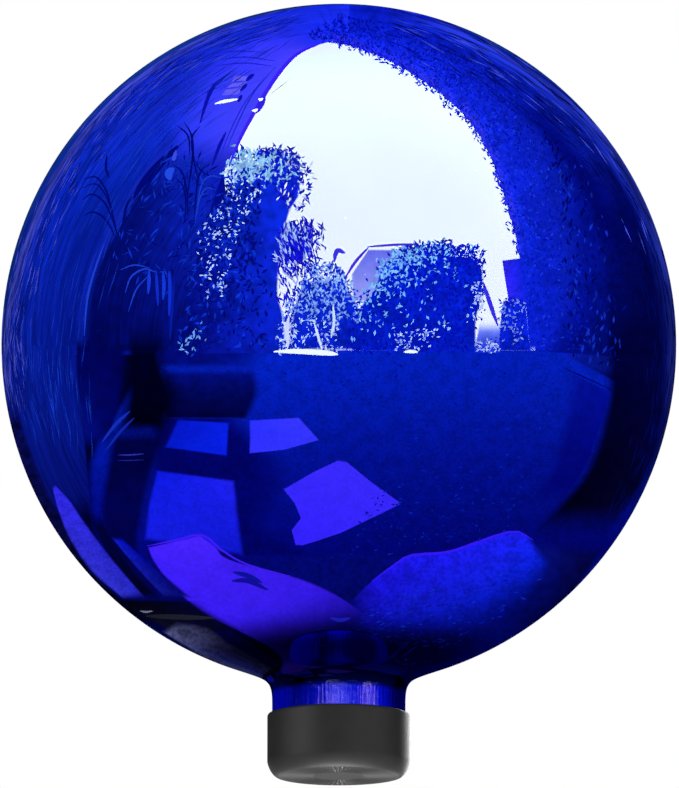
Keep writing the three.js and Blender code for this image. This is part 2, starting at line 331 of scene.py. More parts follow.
class Tuft:
    """Many small pointed slips of card between two edges, some of them light and the rest dark.

    Lean and spread are the mean and the scatter of the slips' angles, in degrees clockwise from level,
    or from the edges where the slips follow them. Share is how many are light at the lit place, which
    is given in shares from left to right and from top to bottom, and reach is how soon that falls off.
    """

    def __init__(self, name, layer, left_px, right_px, count, light, dark, **look):
        self.name = name
        self.layer = layer
        self.left_px = left_px
        self.right_px = right_px
        self.count = count
        self.light = light
        self.dark = dark
        self.length_px = look.get("length_px", 8)
        self.width_px = look.get("width_px", 2.6)
        self.lean = look.get("lean", 100)
        self.spread = look.get("spread", 50)
        self.share = look.get("share", 0.3)
        self.lit_shares = look.get("lit_shares", (0.5, 0.5))
        self.reach_share = look.get("reach_share", 0.6)
        self.follow = look.get("follow", False)


# Colours that several tufts and strokes share
CYAN = (122, 190, 272)
SNOW = (182, 212, 285)
DEEP = (4, 20, 200)
INK = (1, 8, 112)
BEAM = (10, 14, 170)
THREAD = (26, 34, 205)
WHITE = (235, 250, 255)
STEEL = (24, 58, 205)

TUFTS = (
    Tuft("right_edge_tuft", 3, left_px=((332, 42), (366, 54), (404, 74), (439, 98), (466, 124),
         (488, 157), (505, 205), (516, 254)), right_px=((336, 34), (372, 47), (412, 67), (447, 91),
         (474, 117), (496, 154), (513, 205), (524, 254)), count=700, light=(46, 50, 244),
         dark=(14, 26, 216), share=0.7, reach_share=2, length_px=5, width_px=1.8, lean=60, spread=50),
    Tuft("right_inner_tuft", 3, left_px=RIGHT_INNER_PX, right_px=((340, 14), (410, 30), (480, 66),
         (530, 110), (566, 180), (584, 260), (590, 350)), count=3000, light=(24, 50, 236),
         dark=(4, 20, 184), share=0.45, reach_share=0.7, lit_shares=(0, 0.6), length_px=3.6, width_px=1.5,
         lean=80),
    Tuft("right_outer_tuft", 4, left_px=((540, 130), (560, 200), (566, 270), (560, 350)),
         right_px=((570, 150), (606, 220), (620, 290), (612, 372)), count=260, light=(16, 44, 190),
         dark=(1, 6, 110), share=0.4, reach_share=0.7, lit_shares=(0.3, 0.8), length_px=7, width_px=2.2,
         lean=95, spread=25),
    Tuft("right_bold_tuft", 6, left_px=((562, 280), (572, 362)), right_px=((626, 286), (624, 364)),
         count=40, light=(14, 38, 180), dark=(2, 14, 140), share=0.5, reach_share=3, length_px=8,
         width_px=2.4, lean=100, spread=25),
    Tuft("tall_top_tuft", 7, left_px=((238, 148), (229, 162), (227, 180)),
         right_px=((292, 152), (302, 170), (296, 184)), count=560, light=(138, 196, 252),
         dark=(8, 34, 215), lit_shares=(0.15, 0.5), reach_share=0.7, share=0.8, length_px=8,
         width_px=2.4),
    Tuft("tall_edge_tuft", 7, left_px=((258, 148), (274, 168), (280, 206)),
         right_px=((290, 150), (313, 172), (304, 210)), count=330, light=(206, 220, 275),
         dark=(14, 18, 195), share=0.18, reach_share=2, length_px=6.5, width_px=1.9),
    Tuft("tall_glints", 8, left_px=((233, 172), (223, 198), (204, 224), (198, 250), (206, 300)),
         right_px=((266, 176), (258, 202), (242, 226), (236, 256), (226, 300)), count=330, light=SNOW,
         dark=(8, 40, 200), lit_shares=(0.6, 0.35), reach_share=0.9, share=0.74, length_px=4,
         width_px=1.8, lean=120),
    Tuft("tall_low_glints", 8, left_px=((196, 322), (176, 352)), right_px=((226, 322), (208, 352)),
         count=70, light=(110, 170, 250), dark=(4, 18, 150), lit_shares=(0.1, 0.8), reach_share=0.5,
         share=0.9, length_px=4.5, width_px=1.8, lean=120),
    Tuft("tall_body_tuft", 7, left_px=((226, 184), (206, 222), (194, 260), (184, 300), (174, 350)),
         right_px=((262, 184), (258, 222), (262, 260), (268, 300), (270, 350)), count=700,
         light=(10, 50, 212), dark=(2, 12, 130), share=0.3, reach_share=2, length_px=7, width_px=2.4),
    Tuft("side_tuft", 8, left_px=((284, 222), (274, 242), (278, 272)),
         right_px=((316, 222), (324, 244), (308, 276)), count=300, light=(160, 190, 262),
         dark=(18, 16, 205), lean=70, spread=35, share=0.5, lit_shares=(0.1, 0.5), reach_share=0.6,
         length_px=9, width_px=1.9),
    Tuft("side_gap_tuft", 8, left_px=((278, 262), (276, 306)), right_px=((302, 262), (300, 306)),
         count=80, light=(150, 170, 262), dark=(30, 26, 210), lean=75, spread=25, share=0.3, length_px=9,
         width_px=1.8),
    Tuft("middle_tuft", 8, left_px=((310, 264), (298, 284), (288, 304), (278, 322)),
         right_px=((338, 264), (352, 284), (362, 304), (364, 322)), count=760, light=(132, 176, 265),
         dark=(10, 40, 212), lit_shares=(0.5, 0.4), reach_share=1, share=0.62, length_px=5, width_px=2),
    Tuft("middle_low_tuft", 8, left_px=((276, 318), (276, 352)), right_px=((342, 318), (340, 352)),
         count=340, light=SNOW, dark=(12, 40, 208), lit_shares=(0.4, 0.7), reach_share=0.8, share=0.5,
         length_px=5, width_px=2),
    Tuft("big_tuft", 8, left_px=((402, 248), (380, 262), (368, 286), (352, 316), (348, 352)),
         right_px=((470, 246), (484, 264), (484, 290), (476, 320), (468, 352)), count=1900, light=CYAN,
         dark=DEEP, lit_shares=(0.08, 0.24), reach_share=0.42, share=0.9, length_px=5, width_px=2.1),
    Tuft("big_top_tuft", 8, left_px=((410, 244), (416, 260)), right_px=((450, 240), (456, 258)),
         count=240, light=CYAN, dark=DEEP, lit_shares=(0.6, 0.5), reach_share=0.6, share=0.7, length_px=5,
         width_px=2),
    Tuft("big_crest_tuft", 8, left_px=((404, 245), (404, 251)), right_px=((482, 246), (486, 264)),
         count=200, light=CYAN, dark=(6, 22, 205), share=0.08, reach_share=2, length_px=6, width_px=2),
    Tuft("big_low_glints", 9, left_px=((392, 334), (396, 351)), right_px=((452, 324), (428, 350)),
         count=120, light=SNOW, dark=DEEP, share=0.7, reach_share=2, length_px=3.4, width_px=1.5,
         lean=150),
    Tuft("big_side_glints", 9, left_px=((468, 282), (474, 300), (462, 324)),
         right_px=((484, 282), (486, 300), (482, 322)), count=80, light=SNOW, dark=DEEP, share=0.7,
         reach_share=2, length_px=3.6, width_px=1.6),
    Tuft("right_tuft", 8, left_px=((500, 300), (500, 318), (502, 344)),
         right_px=((520, 298), (524, 316), (522, 342)), count=220, light=(120, 150, 250),
         dark=(8, 26, 215), share=0.35, reach_share=2, length_px=4, width_px=1.8),
    Tuft("right_low_glints", 9, left_px=((478, 341), (476, 352)), right_px=((500, 341), (500, 350)),
         count=70, light=(170, 190, 252), dark=(20, 40, 220), share=0.8, reach_share=2, length_px=4,
         width_px=1.7, lean=150),
    Tuft("low_glints", 9, left_px=((372, 600), (352, 618), (346, 636), (352, 650)),
         right_px=((540, 566), (534, 590), (500, 620), (440, 652)), count=170, light=(12, 44, 205),
         dark=(6, 24, 180), share=0.35, reach_share=2, length_px=6, width_px=1.2, lean=170, spread=14),
    Tuft("middle_glints", 9, left_px=((250, 360), (330, 420), (380, 480), (330, 560)),
         right_px=((556, 360), (556, 420), (536, 480), (500, 540)), count=600, light=(3, 30, 182),
         dark=(2, 18, 150), share=0.3, reach_share=2, length_px=4, width_px=1.4, lean=175, spread=30),
    Tuft("left_rim_tuft", 9, left_px=((290, 9), (200, 39), (130, 83), (76, 141), (36, 211), (11, 291),
         (4, 340), (6, 372), (12, 404)), right_px=((294, 26), (214, 54), (146, 98), (94, 155), (56, 220),
         (32, 300), (22, 340), (26, 372), (30, 404)), count=900, light=(76, 84, 200), dark=(4, 20, 120),
         share=0.6, lit_shares=(0, 0.4), reach_share=0.8, length_px=20, width_px=0.6, lean=0, spread=2,
         follow=True),
    Tuft("left_band_tuft", 9, left_px=((250, 30), (160, 72), (100, 130), (56, 200), (26, 280), (18, 350),
         (22, 390), (34, 430)), right_px=((262, 60), (206, 104), (160, 150), (120, 210), (92, 280),
         (78, 350), (78, 390), (80, 430)), count=620, light=(15, 52, 190), dark=(3, 24, 140), share=0.5,
         reach_share=2, length_px=34, width_px=0.6, lean=0, spread=2, follow=True),
    Tuft("left_dusk_tuft", 7, left_px=((170, 152), (142, 190), (120, 232), (112, 264)),
         right_px=((206, 160), (216, 200), (206, 250), (198, 310)), count=260, light=(12, 48, 206),
         dark=(2, 12, 132), share=0.5, reach_share=2, length_px=10, width_px=1.6, lean=115, spread=35),
    Tuft("right_rim_tuft", 9, left_px=((392, 10), (470, 34), (540, 78), (604, 138), (648, 212),
         (670, 290), (674, 372), (660, 460), (630, 530)), right_px=((396, 36), (456, 66), (518, 110),
         (580, 160), (628, 226), (654, 300), (660, 372), (646, 456), (616, 524)), count=560,
         light=(64, 82, 214), dark=(1, 8, 90), share=0.7, lit_shares=(0.2, 0.0), reach_share=0.36,
         length_px=24, width_px=0.9, lean=0, spread=3, follow=True),
)

# Thin strokes: their line and width in pixels of the picture, their colour and their layer
STROKES_PX = (
    (((228, 74), (214, 86), (207, 100), (200, 123)), 4, BEAM, 9),
    (((226, 132), (219, 147), (212, 166)), 3.5, BEAM, 9),
    (((254, 74), (250, 77), (246, 81)), 4, BEAM, 10),
    (((247, 84), (244, 87), (240, 91)), 3.5, BEAM, 10),
    (((242, 95), (240, 98), (238, 102)), 3.5, BEAM, 10),
    (((215, 103.5), (226, 101), (238, 99)), 3.2, WHITE, 10),
    (((228, 83), (236, 82), (246, 81)), 2, (52, 54, 236), 10),
    (((224, 89), (232, 88), (241, 86.5)), 2, (52, 54, 236), 10),
    (((216, 60), (244, 57), (276, 61)), 1.4, THREAD, 9),
    (((214, 66), (244, 63), (272, 66)), 1.4, THREAD, 9),
    (((210, 54), (238, 51), (262, 52)), 1.2, THREAD, 9),
    (((276, 66), (254, 92), (240, 118), (226, 150)), 1.4, THREAD, 9),
    (((264, 78), (244, 104), (228, 136), (218, 164)), 1.2, THREAD, 9),
    (((324, 42), (297, 54), (276, 77), (255, 111), (240, 139), (229, 166)), 4, (56, 30, 242), 9),
    (((265, 96), (261, 104), (256, 113)), 6, (46, 28, 230), 10),
    (((258, 99), (260.5, 99.5), (263, 98.5)), 3, WHITE, 11),
    (((252, 110.5), (255, 110.5), (258, 109)), 3, WHITE, 11),
    (((178, 146), (158, 166), (142, 186), (134, 200)), 9, (1, 6, 118), 7),
    (((176, 150), (174, 158), (172, 160)), 4, (52, 72, 226), 8),
    (((174, 168), (169, 173), (170, 180)), 8, (30, 70, 228), 8),
    (((84, 179), (96, 177), (106, 190), (112, 212), (117, 236)), 2, INK, 10),
    (((82, 200), (92, 194), (104, 202), (112, 218), (118, 238)), 2, INK, 10),
    (((84, 216), (92, 212), (102, 216), (110, 226), (116, 240)), 2, INK, 10),
    (((82, 188), (96, 184), (107, 198), (114, 220), (118, 238)), 1.6, INK, 10),
    (((107, 154), (106, 168), (109, 178)), 2.5, INK, 10),
    (((132, 196), (126, 208), (120, 240)), 2.5, INK, 10),
    (((184, 122), (191, 134), (193, 152), (190, 178), (186, 204)), 2.2, INK, 10),
    (((200, 126), (192, 138), (194, 160), (199, 184)), 2, INK, 10),
    (((178, 126), (188, 136), (190, 156)), 1.8, INK, 10),
    (((172, 164), (182, 172), (187, 192), (188, 216)), 1.8, INK, 10),
    (((176, 178), (183, 186), (186, 204), (184, 226)), 1.6, INK, 10),
    (((206, 164), (199, 176), (196, 196), (194, 222)), 1.8, INK, 10),
    (((222, 178), (211, 176), (202, 184), (197, 206)), 1.6, STEEL, 10),
    (((216, 190), (207, 188), (200, 198), (195, 222)), 1.4, STEEL, 10),
    (((104, 244), (94, 272), (87, 300), (84, 336)), 2.2, STEEL, 10),
    (((120, 270), (134, 265), (150, 268)), 1.4, STEEL, 10),
    (((125, 293), (131, 277), (144, 269), (156, 272)), 1.8, STEEL, 10),
    (((128, 312), (136, 290), (148, 276)), 1.4, STEEL, 10),
    (((149, 270), (149, 282), (148, 294)), 3.5, (18, 54, 214), 10),
    (((156, 270), (157, 286), (158, 306)), 3, (14, 42, 196), 10),
    (((163, 271), (164, 286), (163, 300)), 3.5, (18, 54, 214), 10),
    (((169, 271), (170, 288), (169, 316)), 3.5, (14, 46, 204), 10),
    (((174, 282), (172, 308), (170, 340)), 3, (6, 26, 160), 10),
    (((102, 442), (116, 424), (130, 411)), 3.5, (16, 42, 176), 9),
    (((106, 450), (120, 432), (134, 418)), 3, (12, 34, 165), 9),
    (((118, 455), (130, 455), (144, 454)), 1.4, (40, 44, 160), 9),
    (((118, 460.5), (130, 460.5), (144, 460)), 1.1, (26, 30, 130), 9),
    (((562, 367), (586, 378), (612, 390)), 1.2, (1, 2, 84), 9),
    (((345, 278), (356, 261), (369, 247)), 3, (74, 44, 214), 9),
    (((367, 247), (392, 245), (416, 244)), 2.4, (70, 48, 214), 9),
    (((334, 262), (337, 251), (345, 253)), 5, (60, 50, 225), 9),
    (((483, 282), (490, 303), (498, 326)), 4.5, (52, 46, 226), 9),
    (((274, 351.5), (300, 351.5), (326, 353), (338, 354.5)), 5.5, WHITE, 9),
    (((404, 352), (411, 351.5), (418, 352)), 3.5, WHITE, 9),
    (((289, 316), (287, 330), (288, 346)), 4, (200, 214, 255), 9),
    (((322, 350), (318, 336), (314, 322)), 2.6, (210, 225, 255), 10),
    (((331, 338), (334, 322), (333, 304)), 3, (190, 215, 255), 10),
    (((233, 572), (248, 576), (262, 583)), 5, (10, 16, 150), 9),
    (((232, 581), (248, 581), (268, 590)), 5, (14, 12, 150), 9),
    (((147, 546), (172, 541), (202, 535), (220, 549), (246, 564), (290, 576)), 2, (58, 24, 244), 9),
    (((372, 581), (394, 565), (412, 555), (448, 552), (480, 541), (514, 531), (533, 540)), 2.5,
     (48, 22, 246), 9),
    (((146, 616), (176, 617), (214, 618)), 5, (30, 32, 42), 10),
    (((140, 611), (146, 612), (153, 611)), 2, (120, 122, 130), 10),
    (((330, 618), (340, 620), (350, 618)), 4, (26, 30, 190), 9),
    (((318, 634), (330, 640), (344, 644)), 3, (30, 34, 180), 9),
)


class GlobeSettings(bpy.types.PropertyGroup):
    """Sizes and colours of the blown glass and its silver."""

    ball_width: bpy.props.FloatProperty(
        name="Ball width", description="Diameter of the ball across its equator",
        default=GLOBE_HIGH.x - GLOBE_LOW.x, unit="LENGTH")
    ball_height: bpy.props.FloatProperty(
        name="Ball height", description="Height of the whole ellipsoid that the ball follows",
        default=256.8 * MM, unit="LENGTH")
    ball_wall: bpy.props.FloatProperty(
        name="Ball wall", description="Thickness of the glass in the ball",
        default=1.8 * MM, unit="LENGTH", precision=5)
    neck_width: bpy.props.FloatProperty(
        name="Neck width", description="Outer diameter of the straight neck",
        default=GASKET_HIGH.x - GASKET_LOW.x, unit="LENGTH")
    neck_wall: bpy.props.FloatProperty(
        name="Neck wall", description="Thickness of the glass in the neck",
        default=2.6 * MM, unit="LENGTH", precision=5)
    neck_length: bpy.props.FloatProperty(
        name="Neck length", description="Straight length of the neck above its rim",
        default=21.9 * MM, unit="LENGTH")
    shoulder_reach: bpy.props.FloatProperty(
        name="Shoulder reach", description="How far the shoulder spreads out from the neck",
        default=18.1 * MM, unit="LENGTH")
    shoulder_drop: bpy.props.FloatProperty(
        name="Shoulder drop", description="Height over which the shoulder runs into the neck",
        default=16.7 * MM, unit="LENGTH")
    rim_round: bpy.props.FloatProperty(
        name="Rim round", description="Radius of the smoothed edges of the rim",
        default=0.6 * MM, unit="LENGTH", precision=5)
    wave_height: bpy.props.FloatProperty(
        name="Wave height", description="Height of the slow waves left by blowing",
        default=0.02 * MM, unit="LENGTH", precision=6)
    lining_gap: bpy.props.FloatProperty(
        name="Lining gap", description="Gap between the glass and its silver film",
        default=0.3 * MM, unit="LENGTH", precision=5)
    lining_thickness: bpy.props.FloatProperty(
        name="Lining thickness", description="Thickness of the silver film",
        default=0.25 * MM, unit="LENGTH", precision=5)
    glass_colour: bpy.props.FloatVectorProperty(
        name="Glass colour", description="What the blue glass lets through to its mirror and back",
        default=(0.012, 0.02, 1.0), subtype="COLOR", min=0, max=1)
    silver_colour: bpy.props.FloatVectorProperty(
        name="Silver colour", description="Colour of the back of the silver film",
        default=(0.62, 0.63, 0.66), subtype="COLOR", min=0, max=1)


class CapSettings(bpy.types.PropertyGroup):
    """Sizes and colours of the moulded cap and the washer in it."""

    cap_width: bpy.props.FloatProperty(
        name="Cap width", description="Outer diameter of the cap",
        default=CAP_HIGH.x - CAP_LOW.x, unit="LENGTH")
    cap_wall: bpy.props.FloatProperty(
        name="Cap wall", description="Thickness of the cap's side",
        default=1.5 * MM, unit="LENGTH", precision=5)
    lip_round: bpy.props.FloatProperty(
        name="Lip round", description="Radius of the lip's outer edge",
        default=1.0 * MM, unit="LENGTH", precision=5)
    lead_in: bpy.props.FloatProperty(
        name="Lead-in", description="Width of the slope at the mouth of the cap's bore",
        default=0.3 * MM, unit="LENGTH", precision=5)
    edge_reach: bpy.props.FloatProperty(
        name="Edge reach", description="How far the bottom edge's curve comes in from the side",
        default=3.4 * MM, unit="LENGTH")
    edge_height: bpy.props.FloatProperty(
        name="Edge height", description="How far the bottom edge's curve climbs the side",
        default=5.6 * MM, unit="LENGTH")
    edge_power: bpy.props.FloatProperty(
        name="Edge power", description="Power of the bottom edge's curve: 1 is a bevel, 2 an ellipse",
        default=1.5, min=1)
    rib_start: bpy.props.FloatProperty(
        name="Rib start", description="Radius at which the ribs of the underside begin",
        default=9.5 * MM, unit="LENGTH")
    rib_margin: bpy.props.FloatProperty(
        name="Rib margin", description="Smooth width between the ribs and the bottom edge's curve",
        default=0.7 * MM, unit="LENGTH", precision=5)
    rib_depth: bpy.props.FloatProperty(
        name="Rib depth", description="Depth of the grooves between the ribs",
        default=0.35 * MM, unit="LENGTH", precision=5)
    rib_count: bpy.props.IntProperty(
        name="Rib count", description="Number of ribs round the underside", default=72, min=1)
    washer_width: bpy.props.FloatProperty(
        name="Washer width", description="Width of the washer's ring",
        default=3.2 * MM, unit="LENGTH", precision=5)
    washer_round: bpy.props.FloatProperty(
        name="Washer round", description="Radius of the washer's edges",
        default=0.3 * MM, unit="LENGTH", precision=5)
    rubber_colour: bpy.props.FloatVectorProperty(
        name="Rubber colour", description="Colour of the cap",
        default=(0.03, 0.03, 0.03), subtype="COLOR", min=0, max=1)
    washer_colour: bpy.props.FloatVectorProperty(
        name="Washer colour", description="Colour of the washer",
        default=(0.02, 0.02, 0.02), subtype="COLOR", min=0, max=1)


class StudioSettings(bpy.types.PropertyGroup):
    """Where the camera stands and how bright the studio is."""

    camera_distance: bpy.props.FloatProperty(
        name="Camera distance", description="Distance from the camera to the point it looks at",
        default=3.3, unit="LENGTH")
    camera_drop: bpy.props.FloatProperty(
        name="Camera drop", description="Angle at which the camera looks up at the globe",
        default=math.radians(11), subtype="ANGLE")
    pixel_width: bpy.props.FloatProperty(
        name="Pixel width", description="Real length that one pixel of the picture covers at the globe",
        default=0.37604 * MM, unit="LENGTH", precision=8)
    aim_side: bpy.props.FloatProperty(
        name="Aim side", description="How far to the right of the axis the camera looks",
        default=0.26 * MM, unit="LENGTH", precision=6)
    aim_height: bpy.props.FloatProperty(
        name="Aim height", description="Height on the axis at which the camera looks",
        default=145.2 * MM, unit="LENGTH")
    floor_radius: bpy.props.FloatProperty(
        name="Floor radius", description="Radius of the round floor", default=14.0, unit="LENGTH")
    floor_gap: bpy.props.FloatProperty(
        name="Floor gap", description="How far the floor lies under the cap, so that the two never coincide",
        default=0.2 * MM, unit="LENGTH", precision=5)
    card_reach: bpy.props.FloatProperty(
        name="Card reach", description="Distance from the globe to the farthest layer of cards",
        default=9.0, unit="LENGTH")
    card_step: bpy.props.FloatProperty(
        name="Card step", description="Distance from each layer of cards to the next",
        default=0.5, unit="LENGTH")
    backdrop_level: bpy.props.FloatProperty(
        name="Backdrop level", description="Brightness of the plain backdrop", default=1.0, min=0)
    fill_level: bpy.props.FloatProperty(
        name="Fill level", description="Brightness of the soft light from all round",
        default=0.4, min=0)


def mesh_object(name, points, faces, materials):
    """A smooth-shaded mesh object at the origin, with its place in its vertices."""
    mesh = bpy.data.meshes.new(name)
    mesh.from_pydata(points.tolist(), [], faces)
    mesh.polygons.foreach_set("use_smooth", np.ones(len(mesh.polygons), bool))
    for material in materials:
        mesh.materials.append(material)
    mesh.update()
    obj = bpy.data.objects.new(name, mesh)
    bpy.context.scene.collection.objects.link(obj)
    return obj


def turned_object(name, profile, turns, materials, shaped=None, slots=None):
    """A profile of (radius, height) turned about Z: each point becomes (r cos a, r sin a, z).

    shaped(r, z, a) may give each point a new radius and height, and slots gives the material of the
    faces that follow each profile point. The profile runs with the material on its left, so that
    the faces point outwards. An end on the axis becomes one pole joined by a fan, and a profile
    whose ends are both off the axis closes on itself.
    """
    angle = FULL_TURN * np.arange(turns) / turns
    on_axis = profile[:, 0] < TINY
    radius = profile[~on_axis, 0][:, None] + 0 * angle
    height = profile[~on_axis, 1][:, None] + 0 * angle
    if shaped is not None:
        radius, height = shaped(radius, height, angle[None, :])
    rings = np.stack([radius * np.cos(angle), radius * np.sin(angle), height], -1).reshape(-1, 3)
    poles = profile[on_axis] * [0, 1]
    points = np.concatenate([rings, np.insert(poles, 1, 0, axis=1)])
    count = len(radius)
    rows = np.arange(count - 1 if on_axis.any() else count)
    row = turns * rows[:, None]
    after = (row + turns) % (turns * count)
    step = np.arange(turns)
    following = (step + 1) % turns
    faces = np.stack([row + step, row + following, after + following, after + step], -1)
    faces = faces.reshape(-1, 4).tolist()
    pole = len(rings)
    if on_axis[0]:
        faces += np.stack([0 * step + pole, following, step], -1).tolist()
        pole += 1
    if on_axis[-1]:
        last = turns * (count - 1)
        faces += np.stack([last + step, last + following, 0 * step + pole], -1).tolist()
    obj = mesh_object(name, points, faces, materials)
    if slots is not None:
        own = np.repeat(slots[~on_axis][rows], turns)
        ends = [np.full(turns, slot) for slot, at in ((slots[0], on_axis[0]), (slots[-1], on_axis[-1])) if at]
        obj.data.polygons.foreach_set("material_index", np.concatenate([own, *ends]).astype(np.int32))
    return obj


def ball_centre_height(sizes):
    """Height of the ball's centre: half the ball's height under the crown."""
    return GLOBE_HIGH.z - sizes.ball_height / 2


def globe_outline(sizes, ball_rows, shoulder_rows, neck_rows, rim_height):
    """The globe's outline from the crown down to a rim: points, outward normals and way.

    The ball is an arc of an ellipse, (a sin t, -c cos t). The shoulder is a cubic that leaves the
    ball along its tangent and meets the straight neck. Way is 0 on the ball, 1 on the neck and
    rises evenly along the shoulder.
    """
    a = sizes.ball_width / 2
    c = sizes.ball_height / 2
    neck = sizes.neck_width / 2
    neck_top = GLOBE_LOW.z + sizes.neck_length
    leave = math.asin((neck + sizes.shoulder_reach) / a)
    t = np.linspace(math.pi, leave, ball_rows)
    ball = np.stack([a * np.sin(t), ball_centre_height(sizes) - c * np.cos(t)], -1)
    ball[0, 0] = 0
    ball_normals = np.stack([np.sin(t) / a, -np.cos(t) / c], -1)
    along = np.array([-a * math.cos(leave), -c * math.sin(leave)])
    start = ball[-1]
    end = np.array([neck, neck_top])
    pull_in = start + along / np.linalg.norm(along) * sizes.shoulder_reach
    pull_up = end + [0, sizes.shoulder_drop * NECK_PULL_SHARE]
    q = np.linspace(0, 1, shoulder_rows + 1)[1:, None]
    p = 1 - q
    shoulder = p ** 3 * start + 3 * p * p * q * pull_in + 3 * p * q * q * pull_up + q ** 3 * end
    slope = p * p * (pull_in - start) + 2 * p * q * (pull_up - pull_in) + q * q * (end - pull_up)
    shoulder_normals = np.stack([-slope[:, 1], slope[:, 0]], -1)
    down = np.linspace(neck_top, rim_height, neck_rows + 1)[1:]
    straight = np.stack([0 * down + neck, down], -1)
    straight_normals = np.stack([0 * down + 1, 0 * down], -1)
    points = np.concatenate([ball, shoulder, straight])
    normals = np.concatenate([ball_normals, shoulder_normals, straight_normals])
    normals /= np.linalg.norm(normals, axis=1)[:, None]
    way = np.concatenate([np.zeros(ball_rows), q[:, 0], np.ones(neck_rows)])
    return points, normals, way


def inset(outline, ball_depth, neck_depth):
    """The outline moved in along its normals by one depth on the ball and another on the neck."""
    points, normals, way = outline
    depth = ball_depth + (neck_depth - ball_depth) * way
    moved = points - normals * depth[:, None]
    moved[0, 0] = 0
    return moved


def rounded_rim(inner, outer, height, round_radius):
    """A flat rim facing down, from its inner to its outer radius, with a quarter round at each edge."""
    q = np.linspace(0, QUARTER_TURN, RIM_ROWS)
    rise = height + round_radius * (1 - np.sin(q))
    inside = np.stack([inner + round_radius * (1 - np.cos(q)), rise], -1)
    outside = np.stack([outer - round_radius * (1 - np.cos(q)), rise], -1)
    return np.concatenate([inside, outside[::-1]])


def blown_wave(sizes):
    """Moves the wall away from the ball's centre by slow crossed sine waves, none on the neck."""
    centre = ball_centre_height(sizes)
    neck = sizes.neck_width / 2

    def shaped(radius, height, angle):
        x = radius * np.cos(angle) / WAVE_LENGTH
        y = radius * np.sin(angle) / WAVE_LENGTH
        z = height / WAVE_LENGTH
        wave = np.sin(WAVE_X_RATE * x + np.sin(WAVE_X_BEND_RATE * z))
        wave = wave + np.sin(WAVE_Y_RATE * y + WAVE_Y_START + np.sin(WAVE_Y_BEND_RATE * x))
        fade = np.where(height > centre, 1, np.clip((radius - neck) / sizes.shoulder_reach, 0, 1))
        share = 1 + sizes.wave_height * wave * fade / sizes.ball_width
        return radius * share, centre + (height - centre) * share
    return shaped


def cap_profile(sizes):
    """The cap's section, from the middle of its foot round the outside and down into its bore.

    The foot is flat. The bottom edge follows |x|^n + |y|^n = 1 between its reach and its height, the
    side is straight, and the lip is a quarter round with a short slope into the bore.
    """
    side = sizes.cap_width / 2
    bore = side - sizes.cap_wall
    top = CAP_HIGH.z
    foot = side - sizes.edge_reach
    q = np.linspace(QUARTER_TURN, 0, EDGE_ROWS)
    out = np.abs(np.cos(q)) ** (2 / sizes.edge_power)
    down = np.sin(q) ** (2 / sizes.edge_power)
    middle = np.stack([np.linspace(0, foot, FOOT_ROWS), np.zeros(FOOT_ROWS)], -1)
    edge = np.stack([foot + sizes.edge_reach * out, sizes.edge_height * (1 - down)], -1)
    walls = np.linspace(sizes.edge_height, top - sizes.lip_round, SIDE_ROWS)
    wall = np.stack([0 * walls + side, walls], -1)
    q = np.linspace(0, QUARTER_TURN, ROUND_ROWS)
    lip_in = sizes.lip_round * (1 - np.cos(q))
    lip_down = sizes.lip_round * (1 - np.sin(q))
    lip = np.stack([side - lip_in, top - lip_down], -1)
    bore_floor = GASKET_LOW.z
    mouth = np.array([[bore + sizes.lead_in, top], [bore, top - sizes.lead_in]])
    inside = np.array([[bore, bore_floor], [bore / 2, bore_floor], [0, bore_floor]])
    return np.concatenate([middle, edge[1:], wall[1:], lip[1:], mouth, inside])


def foot_ribs(sizes):
    """Cuts the radial grooves: a rounded square wave round the turn, on the foot only."""
    foot = sizes.cap_width / 2 - sizes.edge_reach
    start = sizes.rib_start
    end = foot - sizes.rib_margin
    fade = sizes.rib_margin / 2

    def shaped(radius, height, angle):
        wave = np.tanh(RIB_STEEPNESS * np.cos(sizes.rib_count * angle)) / 2 + 0.5
        band = np.clip((radius - start) / fade, 0, 1) * np.clip((end + fade - radius) / fade, 0, 1)
        on_foot = height < sizes.rib_depth * FOOT_LEVEL_SHARE
        return radius, height + sizes.rib_depth * wave * band * on_foot
    return shaped


def washer_profile(sizes, globe):
    """The washer's section, a rectangle with rounded corners that closes on itself."""
    outer = globe.neck_width / 2
    inner = outer - sizes.washer_width
    bottom = GASKET_LOW.z
    top = GASKET_HIGH.z
    r = sizes.washer_round
    q = np.linspace(0, FULL_TURN, 4 * ROUND_ROWS, endpoint=False) + QUARTER_TURN / ROUND_ROWS / 2
    right = np.where(np.cos(q) > 0, outer - r, inner + r)
    upper = np.where(np.sin(q) > 0, top - r, bottom + r)
    return np.stack([right + r * np.cos(q), upper + r * np.sin(q)], -1)


